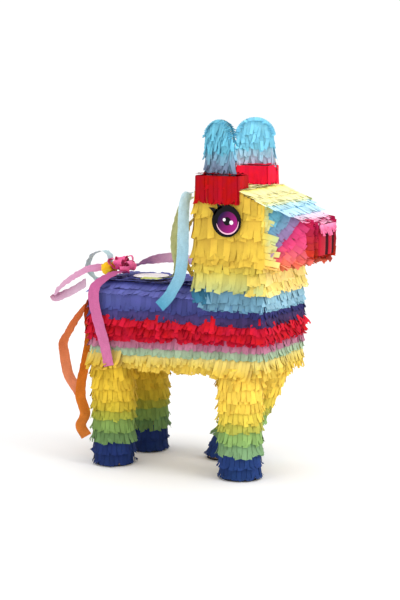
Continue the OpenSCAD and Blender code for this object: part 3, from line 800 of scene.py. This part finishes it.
def blockRows(shape, block):
    hand, red, top = shape["hand"], shape["red"], shape["top"]
    x0, x1 = earX - block["rear"], earX + shape["front"]
    y0, y1 = sorted((hand * block["outer"], hand * block["inner"]))
    corners = [(x0, y0), (x1, y0), (x1, y1), (x0, y1)]
    outer = hand * (block["outer"] + 0.5)
    ends = [(x0, outer - hand * 8), (x0, outer), (x1, outer), (x1, outer - hand * 8)][::-hand]
    rows = [footRow(corners, top, top - block["sideHem"], red, red, radius=4, flare=0.3, proud=-0.5),
            footRow(ends, top - 1, top - block["faceHem"], red, red, closed=False, radius=3, flare=0.15,
                    proud=0.3)]
    for y in block["topRows"]:
        rows.append(lineRow((x0 + 2, hand * y, top), (x1 - 2, hand * y, top), (0, 0, 1), (0, hand, 0),
                            block["topDrop"], red, red, flare=0.4))
    return rows


def earTopRows(shape):
    # short strips over the ridge of the rounded top, and longer ones down each face
    hand = shape["hand"]
    rows = []
    for face in (-1, 1):
        normal = Vector((math.sin(earTurn) * face, math.cos(earTurn) * face * -hand, 0))
        for lift, proud, lie, drop in ((2.4, 0.0, normal * 0.8 + straightDown * 0.5, 8),
                                       (0.0, 2.2, normal * 0.1 + straightDown, 24)):
            radius = earHalf + lift
            points = []
            for i in range(13):
                a = math.radians(12 + i * 13)
                points.append(earPlace(hand, radius * math.cos(a), 0, earFlatTop + radius * math.sin(a)))
            rows.append(makeRow(points, [normal] * 13, lie, drop, *shape["blue"], proud=proud, flare=0.6))
    return rows


for sideName, shape in earShapes.items():
    hand, blue, pale = shape["hand"], shape["blue"], shape["pale"]
    blues = earTopRows(shape) + [earRow(hand, *row) for row in (
        (511, 24, blue, 1.0), (502, 28, blue, 1.0), (490, 28, (blue[0], pale[0]), 1.0), (478, 30, pale, 1.0),
        (shape["top"] + 18, 22, pale, 1.2))]
    makeFringe("earBlueFringe_" + sideName, blues,
               dict(bodyLook, Pitch=0.0052, Header=0.1, Flare=0.09, Curl=0.22, Sway=0.4, Uneven=0.4),
               ["tissue_ear_blue_" + sideName], seed=61 + hand)
    makeFringe("earRedFringe_" + sideName, blockRows(shape, blockShape),
               dict(bodyLook, Pitch=0.007, Header=0.75, Curl=0.1, Uneven=0.08),
               ["tissue_ear_red_" + sideName], seed=65 + hand)
print("ears")

# crepe streamers: flat strips along the routes of their CAD solids
streamerWidth = 17


def joinRings(build, near, far, uvs=None, row=0, cell=(1, 1)):
    # faces between two closed rings of points
    made = []
    for j in range(len(near)):
        k = (j + 1) % len(near)
        made.append(build.faces.new((near[j], near[k], far[k], far[j])))
        if uvs:
            made[-1].smooth = True
            for loop, (u, v) in zip(made[-1].loops, ((row, j), (row, j + 1), (row + 1, j + 1), (row + 1, j))):
                loop[uvs].uv = (u * cell[0], v * cell[1])
    return made


def smoothRoute(points, spacing=2.2):
    # evenly close points on a smooth curve through the route
    points = [Vector(p) for p in points]
    ends = [points[0] * 2 - points[1]] + points + [points[-1] * 2 - points[-2]]
    result = []
    for a, b, c, d in zip(ends, ends[1:], ends[2:], ends[3:]):
        steps = max(2, round((c - b).length / spacing))
        for i in range(steps):
            t = i / steps
            result.append(0.5 * (2 * b + (c - a) * t + (2 * a - 5 * b + 4 * c - d) * t ** 2
                                 + (3 * b - a - 3 * c + d) * t ** 3))
    return result + [points[-1]]


crepeLook = dict(width=streamerWidth, gutter=1.2, ruffle=1.5, drift=1.0, columns=8)


def addStrip(build, uvs, path, startSide, endSide, look, seed):
    # one crepe strip, its edges stretched into small waves
    line = smoothRoute(path)
    count = len(line)
    rows = []
    travelled = 0
    for i, spot in enumerate(line):
        ahead = (line[min(i + 1, count - 1)] - line[max(i - 1, 0)]).normalized()
        share = i / (count - 1)
        side = Vector(startSide).lerp(Vector(endSide), share)
        side = (side - ahead * side.dot(ahead)).normalized()
        up = ahead.cross(side)
        if i:
            travelled += (spot - line[i - 1]).length
        row = []
        for j in range(look["columns"] + 1):
            u = 2 * j / look["columns"] - 1
            edge = abs(u) ** 3 * look["ruffle"]
            wave = noise.noise(Vector((travelled * 0.22, u * 1.3, seed * 3.1))) * edge
            wave += noise.noise(Vector((travelled * 0.11, u * 0.8, seed * 7.3))) * look["drift"]
            bend = look["gutter"] * (0.5 - u * u) * math.sin(travelled * 0.05 + seed)
            pinch = min(1, 0.72 + travelled / 40)
            place = spot + side * (u * look["width"] / 2 * pinch) + up * (wave + bend)
            vertex = build.verts.new(at(*place))
            row.append((vertex, (u * look["width"] / 1000, travelled / 1000), share))
        rows.append(row)
    for below, above in zip(rows, rows[1:]):
        for j in range(look["columns"]):
            corners = [below[j], below[j + 1], above[j + 1], above[j]]
            face = build.faces.new([c[0] for c in corners])
            face.smooth = True
            for loop, corner in zip(face.loops, corners):
                loop[uvs].uv = corner[1]
    return travelled


def finishMesh(build, name, materials, nodes):
    mesh = bpy.data.meshes.new(name)
    build.to_mesh(mesh)
    build.free()
    for material in materials:
        mesh.materials.append(material)
    return addPiece(name, mesh, nodes)


def crepeMaterial(name, first, last, length):
    # crinkles lie across the strip, and the colour drifts along it
    material, tree, shader = startMaterial(name)
    uv = addNode(tree, "ShaderNodeUVMap", uv_map="crepe").outputs["UV"]
    along = addNode(tree, "ShaderNodeSeparateXYZ", {"Vector": uv}).outputs["Y"]
    crinkle = textured(tree, uv, 900, 3, (0.22, 1, 1))
    cloud = textured(tree, uv, 90, 2)
    share = addNode(tree, "ShaderNodeMapRange", {"Value": along, "From Max": length}).outputs["Result"]
    colour = mixed(tree, share, hexColour(first), hexColour(last))
    shade = calc(tree, "MULTIPLY", ranged(tree, crinkle, 0.78, 1.18), ranged(tree, cloud, 0.85, 1.13))
    dressPaper(tree, shader, colour, shade, ranged(tree, crinkle, 0.55, 0.8), 0.15,
               [(crinkle, 0.6, 0.0009), (cloud, 0.4, 0.001)])
    return material


# each streamer: its CAD solid, its holders, its start, how it faces at both ends, and its route
upAndOver = (0.8, 0.6, 0)
acrossX = (1, 0, 0)
acrossY = (0, 1, 0)
streamers = [
    dict(name="streamerRearPink", node="streamer_rear_pink", slot="crepe_pale_pink", held="hung",
         rests=["tail_knot"],
         colours=("d98ab4", "d1b4c7"), start=(-42.3, -3, 290), sides=((0, 0.8, 0.6), (0, 0.5, 0.85)),
         route=[(0, 0, 0), (-10, 0, 0), (-26, -1, -2), (-50, -2, -12), (-74, -3, -28), (-84, -4, -38),
                (-90, -4, -44), (-88, -4, -49), (-76, -3, -46), (-52, -2, -34), (-34, -1, -24)]),
    dict(name="streamerBackPink", node="streamer_back_pink", slot="crepe_pale_pink", held="laid",
         rests=["tail_bow", "tissue_back"], colours=("f09cc2", "fadde8"), start=(-13, 9, 288),
         sides=((0.9, 0, 0.4), (0, -0.5, 0.86)),
         route=[(0, 0, 0), (0, 8, 0), (2, 20, 3), (12, 34, 9), (30, 42, 14), (55, 45, 17), (85, 44, 15),
                (112, 40, 8), (130, 36, 5)]),
    dict(name="streamerSidePink", node="streamer_side_pink", slot="crepe_magenta", held="hung",
         rests=["tail_bow", "tissue_body_navy"], colours=("b8508a", "c8709a"), start=(0, 0, 0),
         sides=((0.9, 0.3, 0), acrossX),
         route=[(2, -9, 288.5), (2, -17, 289.5), (-3, -40, 289), (-10, -66, 282), (-14, -84, 272),
                (-14, -89, 256), (-9, -89.5, 232), (0, -89.5, 204), (7, -90, 180), (13, -92, 156)]),
    dict(name="streamerOrangeLong", node="streamers_orange", slot="crepe_orange", held="hung",
         rests=["tissue_body_navy"],
         colours=("e97d16", "ee8a3a"), start=(-34, -38, 254), sides=(acrossY, upAndOver),
         route=[(0, 0, 0), (-7, 0, 0), (-16, 0, -8), (-20, -1, -30), (-16, -2, -62), (-22, -2, -96),
                (-30, -1, -128), (-34, 0, -160), (-26, 0, -186), (-34, 0, -206), (-24, 0, -222)]),
    dict(name="streamerOrangeShort", node="streamers_orange", slot="crepe_orange", held="hung",
         rests=["tissue_body_navy"], colours=("f07d18", "ef9a76"), start=(-34, -6, 254),
         sides=(acrossY, upAndOver),
         route=[(0, 0, 0), (-8, 0, 0), (-24, 1, -8), (-48, 2, -30), (-72, 3, -62), (-86, 4, -84),
                (-84, 4, -104), (-76, 2, -134), (-62, 0, -152), (-50, -2, -166)]),
    dict(name="streamerTailBlue", node="streamer_tail_blue", slot="crepe_blue", held="hung",
         rests=["tail_knot"],
         colours=("b4d0d8", "c8dede"), start=(-34, 0, 298.3), sides=(acrossY, acrossY),
         route=[(0, 0, 0), (0, 0, 6), (-5, 2, 13), (-16, 5, 17), (-32, 9, 13), (-44, 13, 4), (-50, 15, -8),
                (-44, 16, -22), (-34, 17, -30)]),
    dict(name="maneBlue", node="mane_blue", slot="crepe_blue", held="hung", rests=["tissue_head_yellow"],
         colours=("c8e4ec", "4e98b6"), start=(0, 0, 0), sides=((0.5, 0.85, 0), acrossX),
         route=[(141, -69.5, 416), (135, -69.5, 416), (129, -70.5, 400), (128, -72.5, 366), (128, -75, 326),
                (125, -78, 296), (119, -85, 279), (111, -89, 264), (97, -89, 250)]),
    dict(name="maneGreen", node="mane_green", slot="crepe_green", held="hung",
         rests=["tissue_head_yellow", "tissue_back"], colours=("e2eed2", "cad070"), start=(141, -45, 408),
         sides=((0.4, 0.9, 0), (0.3, 0.9, 0)),
         route=[(0, 0, 0), (-8, 0, 0), (-24, -1, -8), (-36, -2, -38), (-40, -2, -70), (-35, -1, -100),
                (-40, 0, -116), (-62, 0, -122), (-84, 2, -123), (-96, 3, -123)]),
    dict(name="maneYellow", node="mane_yellow", slot="crepe_yellow", held="hung",
         rests=["tissue_head_yellow"],
         colours=("e4dc9a", "e8c858"), start=(141, -43, 380), sides=(acrossY, acrossY),
         route=[(0, 0, 0), (-6, 0, 0), (-18, 0, -12), (-26, 0, -34), (-28, 0, -58), (-18, 0, -78),
                (-10, 0, -88)]),
]


def makeStreamer(seed, name, node, slot, held, rests, colours, start, sides, route):
    build = bmesh.new()
    uvs = build.loops.layers.uv.new("crepe")
    path = [Vector(start) + Vector(p) for p in route]
    length = addStrip(build, uvs, path, *sides, crepeLook, seed)
    piece = finishMesh(build, name, [crepeMaterial(name, *colours, length / 1000)], [node])
    print(name, round(length), "mm long")


for seed, streamer in enumerate(streamers, 1):
    makeStreamer(seed, **streamer)

# bow: loops of crepe gathered to one spot on a folded pad; each loop has its turn, tilt and reach
bow = dict(middle=(-13, 0, 289), puff=6.5, colours=("ee1c7a", "fa8cbc"),
           crepe=dict(width=15, ruffle=2.4, drift=3.0, columns=6),
           loops=[(200, 36, 26), (335, 24, 27), (80, 30, 22), (150, 62, 22), (20, 60, 25), (270, 44, 23),
                  (60, 75, 20), (305, 8, 25)])
knot = dict(x=-37, z=290.5, half=14, radius=7.4, swell=2.4, pinch=5.2, lumps=1.6, pleats=9, pleatDepth=0.45,
            colours=("f8bc1c", "fcd02c"))


def makeBow(look):
    build = bmesh.new()
    uvs = build.loops.layers.uv.new("crepe")
    for i, (turn, tilt, reachOut) in enumerate(look["loops"]):
        a, b = math.radians(turn), math.radians(tilt)
        way = Vector((math.cos(a) * math.cos(b), math.sin(a) * math.cos(b), math.sin(b)))
        side = Vector((-math.sin(a), math.cos(a), 0))
        up = way.cross(side) * -1
        path = []
        for k in range(9):
            t = k / 8 * 2 * math.pi
            path.append(Vector(look["middle"]) + way * reachOut * (1 - math.cos(t)) / 2
                        + up * look["puff"] * math.sin(t) * (0.4 + (1 - math.cos(t)) / 3))
        addStrip(build, uvs, path, side, side, {**crepeLook, **look["crepe"]}, i * 1.7)
    finishMesh(build, "tailBow", [crepeMaterial("tailBow", *look["colours"], 0.05)],
               ["tail_bow"])


def makeKnot(look):
    # a lump of wound crepe, pinched at the middle and splayed at both ends
    build = bmesh.new()
    uvs = build.loops.layers.uv.new("crepe")
    around, along = 36, 22
    rings = []
    for i in range(along + 1):
        y = (2 * i / along - 1) * look["half"]
        end = abs(y) / look["half"]
        radius = look["radius"] + look["swell"] * math.sin(end * math.pi)
        radius -= look["pinch"] * max(0, end - 0.8) / 0.2
        ring = []
        for j in range(around):
            a = 2 * math.pi * j / around
            lump = noise.noise(Vector((math.cos(a) * 1.6, y * 0.16, math.sin(a) * 1.6))) * look["lumps"]
            r = max(0.6, radius + lump + math.sin(a * look["pleats"] + y * 0.3) * look["pleatDepth"])
            ring.append(build.verts.new(at(look["x"] + r * math.cos(a), y, look["z"] + r * math.sin(a))))
        rings.append(ring)
    for i in range(along):
        joinRings(build, rings[i], rings[i + 1], uvs, i, (0.0011, 0.0015))
    for ring in (rings[0], rings[-1]):
        build.faces.new(ring)
    bmesh.ops.recalc_face_normals(build, faces=build.faces)
    finishMesh(build, "tailKnot", [crepeMaterial("tailKnot", *look["colours"], 0.05)],
               ["tail_knot"])


makeBow(bow)
makeKnot(knot)
print("bow and knot")

# eyes: a printed card disc with lashes, an iris, a pale arc and two glints, each a little prouder
eyeShape = dict(x=chestX - 51, z=22, proud=3.6, disc=23, iris=15.6, arc=17.6, pupil=6.0, shift=(1.8, -1.6),
                lashes=((146, 34), (122, 28.5)), lashSpread=15, lashRoot=20.5)
eyeInks = [("eyeBlack", "08060a", 0.3, None), ("eyeIris", "260a40", 0.3, "9c1674"),
           ("eyeArc", "f0b8d0", 0.35, None), ("eyeGlint", "f4ecf2", 0.35, None)]
black, irisInk, arcInk, glintInk = range(4)


def inkMaterial(name, code, rough, second):
    material, tree, shader = startMaterial(name)
    grain = textured(tree, objectSpot(tree), 900, 2)
    colour = hexColour(code)
    if second:
        glow = addNode(tree, "ShaderNodeAttribute", attribute_name="glow").outputs["Fac"]
        colour = mixed(tree, glow, colour, hexColour(second))
    dressPaper(tree, shader, colour, ranged(tree, grain, 0.93, 1.07),
               ranged(tree, grain, rough - 0.06, rough + 0.06), 0.1, [(grain, 0.06, 0.0002)])
    return material


def onCircle(radius, angle, x=0, z=0):
    return (x + radius * math.cos(angle), z + radius * math.sin(angle))


def circle(radius, x=0, z=0, count=48):
    return [onCircle(radius, 2 * math.pi * i / count, x, z) for i in range(count)]


def flatShape(build, centre, hand, outline, ink, height=0.0, thick=0.3):
    # a thin plate with a closed rim; outline is (x, z) about the eye's middle
    faceY = centre.y + hand * height
    front, back = ([build.verts.new(at(centre.x + x, y, centre.z + z)) for x, z in outline]
                   for y in (faceY, faceY - hand * thick))
    faces = [build.faces.new(front), build.faces.new(back[::-1])] + joinRings(build, back, front)
    for face in faces:
        face.material_index = ink
    bmesh.ops.recalc_face_normals(build, faces=faces)


def makeIris(build, centre, hand, sx, sz):
    # in rings, so that its two colours can shade across it
    glow = build.verts.layers.float.new("glow")
    rings = []
    for i in range(1, 9):
        ring = []
        for x, z in circle(eyeShape["iris"] * i / 8, sx, sz, 40):
            vertex = build.verts.new(at(centre.x + x, centre.y + hand * 0.18, centre.z + z))
            vertex[glow] = min(1, max(0, 0.52 + ((x - sx) * 0.8 - (z - sz) * 0.55) / 24))
            ring.append(vertex)
        rings.append(ring)
    rings.append([build.verts.new(v.co + Vector((0, -hand * 0.0003, 0))) for v in rings[-1]])
    faces = [build.faces.new(rings[0]), build.faces.new(rings[-1])]
    for inner, outer in zip(rings, rings[1:]):
        faces += joinRings(build, inner, outer)
    for face in faces:
        face.material_index = irisInk
    bmesh.ops.recalc_face_normals(build, faces=faces)


def makeEye(sideName, hand, look):
    low, high = nodeBox("eye_" + sideName)
    centre = Vector((look["x"], hand * (abs(low.y + high.y) / 2 + look["proud"]), low.z + look["z"]))
    sx, sz = look["shift"]
    build = bmesh.new()
    flatShape(build, centre, hand, circle(look["disc"]), black, thick=1.0)
    for angle, reachOut in look["lashes"]:
        tip = Vector(onCircle(reachOut, math.radians(angle)))
        first, last = (Vector(onCircle(look["lashRoot"], math.radians(angle + turn)))
                       for turn in (-look["lashSpread"], look["lashSpread"]))
        outline = [first, (first + tip) / 2 + Vector((-0.6, 1.6)), tip,
                   (last + tip) / 2 + Vector((1.5, 0.4)), last]
        flatShape(build, centre, hand, outline, black, thick=0.9)
    arcOut = []
    arcIn = []
    for i in range(31):
        a = math.radians(188 + i * 178 / 30)
        swell = math.sin(math.pi * i / 30) ** 0.6
        arcOut.append(onCircle(look["arc"], a, sx, sz))
        arcIn.append(onCircle(look["arc"] - 0.4 - 1.6 * swell, a, sx, sz))
    flatShape(build, centre, hand, arcOut + arcIn[::-1], arcInk, 0.12)
    makeIris(build, centre, hand, sx, sz)
    flatShape(build, centre, hand, circle(look["pupil"], sx - 0.5, sz + 1.5, 36), black, 0.24)
    flatShape(build, centre, hand, circle(2.3, sx - 5.0, sz + 3.6, 24), glintInk, 0.3)
    flatShape(build, centre, hand, circle(3.0, sx + 6.2, sz - 0.2, 24), glintInk, 0.3)
    finishMesh(build, "eyePrint_" + sideName, eyeMaterials, ["eye_" + sideName])


eyeMaterials = [inkMaterial(*ink) for ink in eyeInks]
makeEye("right", -1, eyeShape)
makeEye("left", 1, eyeShape)
print("eyes")

# muzzle: strips round its sides, pink ones hanging over its end, and an end of folded paper
# the second, near-black paper of the muzzle end is painted shade for the grooves between its folded flaps
muzzleShape = dict(low="c8381c", high="c01c54", over=("f48cb4", "e4648e"), grooves=(4, 5, 6, 9, 10, 11),
                   paperAndGrooveShade=(("muzzleRed", ("b80a24", "a80c34")), ("muzzleGrooveShade", ("38060e", "4a0a16"))),
                   profile=[(0.0, 0.2), (0.03, 2.2), (0.1, 2.8), (0.24, 3.0), (0.38, 2.4), (0.44, 0.2),
                            (0.53, 0.1), (0.56, 2.4), (0.66, 3.2), (0.78, 2.4), (0.82, 0.3), (0.92, 0.1),
                            (0.95, 1.6), (1.0, 0.2)])


def muzzleShare(place):
    return min(1, max(0, (place.z - muzzleLow.z) / (muzzleHigh.z - muzzleLow.z)))


def muzzleRows(look):
    rows = []
    for x, drop in ((noseX - 13, 15), (noseX - 5, 11)):
        half, low, high = snoutAt(x)
        paper = (look["low"], look["high"])
        for hand in (-1, 1):
            rows.append(lineRow((x, half * hand, low), (x, half * hand, high), (-0.2, hand, 0), (1, 0, 0),
                                drop, paper, paper, flare=0.3, proud=1.5, share=muzzleShare))
        rows.append(lineRow((x, -half, low), (x, half, low), (0, 0, -1), (1, 0, 0), drop - 1, look["low"],
                            look["low"], flare=0.2))
    return rows


def muzzleDrapes(look):
    rows = []
    for height, drop in ((muzzleHigh.z + 1, 11), (muzzleHigh.z + 2.5, 7)):
        rows.append(lineRow((noseX + board, -muzzleHalf, height), (noseX + board, muzzleHalf, height),
                            (1, 0, 0), (0.2, 0, -1), drop, *look["over"], proud=2.0))
    return rows


def makeMuzzleEnd(look):
    # folded flaps of red paper, side by side, with the gaps between them painted near black as painted shade
    build = bmesh.new()
    uvs = build.loops.layers.uv.new("crepe")
    low = muzzleLow.z - 2
    high = muzzleHigh.z + 2
    face = noseX + board + 0.4
    levels = 9
    grid = []
    for share, proud in look["profile"]:
        y = muzzleLow.y - 2 + share * (muzzleHigh.y - muzzleLow.y + 4)
        line = []
        for k in range(levels + 1):
            t = k / levels
            wobble = noise.noise(Vector((y * 0.2, t * 3, 4.2))) * 0.7
            depth = max(0.1, proud * (1 - 0.25 * (2 * t - 1) ** 4) + wobble * (proud > 1))
            line.append(build.verts.new(at(face + depth, y, low + (high - low) * t)))
        grid.append(line)
    for n, (a, b) in enumerate(zip(grid, grid[1:])):
        for k in range(levels):
            made = build.faces.new((a[k], b[k], b[k + 1], a[k + 1]))
            made.smooth = True
            # faces in the grooves take the near-black paper, painted shade between the flaps
            made.material_index = 1 if n in look["grooves"] else 0
            for loop, (u, v) in zip(made.loops, ((n, k), (n + 1, k), (n + 1, k + 1), (n, k + 1))):
                loop[uvs].uv = (u * 0.002, v * 0.005)
    finishMesh(build, "muzzleEnd", [crepeMaterial(name, *colours, 0.05) for name, colours in look["paperAndGrooveShade"]],
               ["muzzle_face"])


makeFringe("muzzleCollar", muzzleRows(muzzleShape),
           dict(bodyLook, Pitch=0.0095, Flare=0.08, Curl=0.1, Uneven=0.1), ["muzzle_face"],
           seed=71)
makeFringe("muzzleDrape", muzzleDrapes(muzzleShape),
           dict(bodyLook, Pitch=0.006, Uneven=0.9, Missing=0.08, Header=0.2), ["muzzle_face"],
           seed=72)
makeMuzzleEnd(muzzleShape)
print("muzzle")


# cardboard and paper of the CAD pieces that stay
def cardMaterial(name, colour, grainScale=260, rough=(0.7, 0.92), flutes=0.0):
    material, tree, shader = startMaterial(name)
    spot = objectSpot(tree)
    fibre = textured(tree, spot, grainScale, 4, (1, 0.35, 1))
    cloud = textured(tree, spot, 22, 3)
    shade = calc(tree, "MULTIPLY", ranged(tree, fibre, 0.82, 1.14), ranged(tree, cloud, 0.86, 1.12))
    layers = [(fibre, 0.25, 0.0004)]
    if flutes:
        ribs = addNode(tree, "ShaderNodeTexWave", {"Vector": spot, "Scale": flutes}, wave_type="BANDS")
        layers.append((ribs.outputs["Fac"], 0.2, 0.0005))
    dressPaper(tree, shader, hexColour(colour), shade, ranged(tree, fibre, *rough), 0.5, layers)
    return material


cards = [
    (cardMaterial("cardboard", "b08a5c", flutes=60),
     ("side_", "back_panel", "belly_panel", "rump_panel", "chest_panel", "neck_back", "crown_panel",
      "snout_", "cheek_",
      "muzzle_end", "leg_", "ear_", "fill_flap")),
    (cardMaterial("hoofCard", "16161c"), ("hoof_",)),
    (cardMaterial("washerCard", "8c7454"), ("hanging_washer",)),
    (cardMaterial("labelPaper", "fdf8f8", 700, (0.4, 0.55)), ("fill_label",)),
]
for material, starts in cards:
    for name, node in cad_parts.items():
        if name.startswith(starts):
            node.data.materials.clear()
            node.data.materials.append(material)
print("cardboard")

# studio
studio = dict(floorColour=(0.96, 0.96, 0.96, 1), floorHalf=20, world=1.08, key=43, keyPlace=(2.9, -0.5, 1.9),
              keySize=1.6, fill=11, fillPlace=(-0.9, -2.8, 0.7), fillSize=2)


def makeLight(name, place, power, size):
    data = bpy.data.lights.new(name, "AREA")
    data.energy = power
    data.size = size
    light = bpy.data.objects.new(name, data)
    light.location = place
    light.rotation_euler = (Vector((0, 0, 0.25)) - Vector(place)).to_track_quat("-Z", "Y").to_euler()
    bpy.context.scene.collection.objects.link(light)


def makeStudio(look):
    mesh = bpy.data.meshes.new("floor")
    half = look["floorHalf"]
    mesh.from_pydata([(-half, -half, 0), (half, -half, 0), (half, half, 0), (-half, half, 0)], [],
                     [(0, 1, 2, 3)])
    floor = bpy.data.objects.new("floor", mesh)
    bpy.context.scene.collection.objects.link(floor)
    material, tree, shader = startMaterial("floor")
    shader.inputs["Base Color"].default_value = look["floorColour"]
    shader.inputs["Roughness"].default_value = 0.9
    mesh.materials.append(material)
    world = bpy.data.worlds.new("studio")
    bpy.context.scene.world = world
    world.use_nodes = True
    backdrop = world.node_tree.nodes["Background"]
    backdrop.inputs["Color"].default_value = (1, 1, 1, 1)
    backdrop.inputs["Strength"].default_value = look["world"]
    makeLight("key", look["keyPlace"], look["key"], look["keySize"])
    makeLight("fill", look["fillPlace"], look["fill"], look["fillSize"])
    bpy.context.scene.view_settings.view_transform = "Standard"


makeStudio(studio)
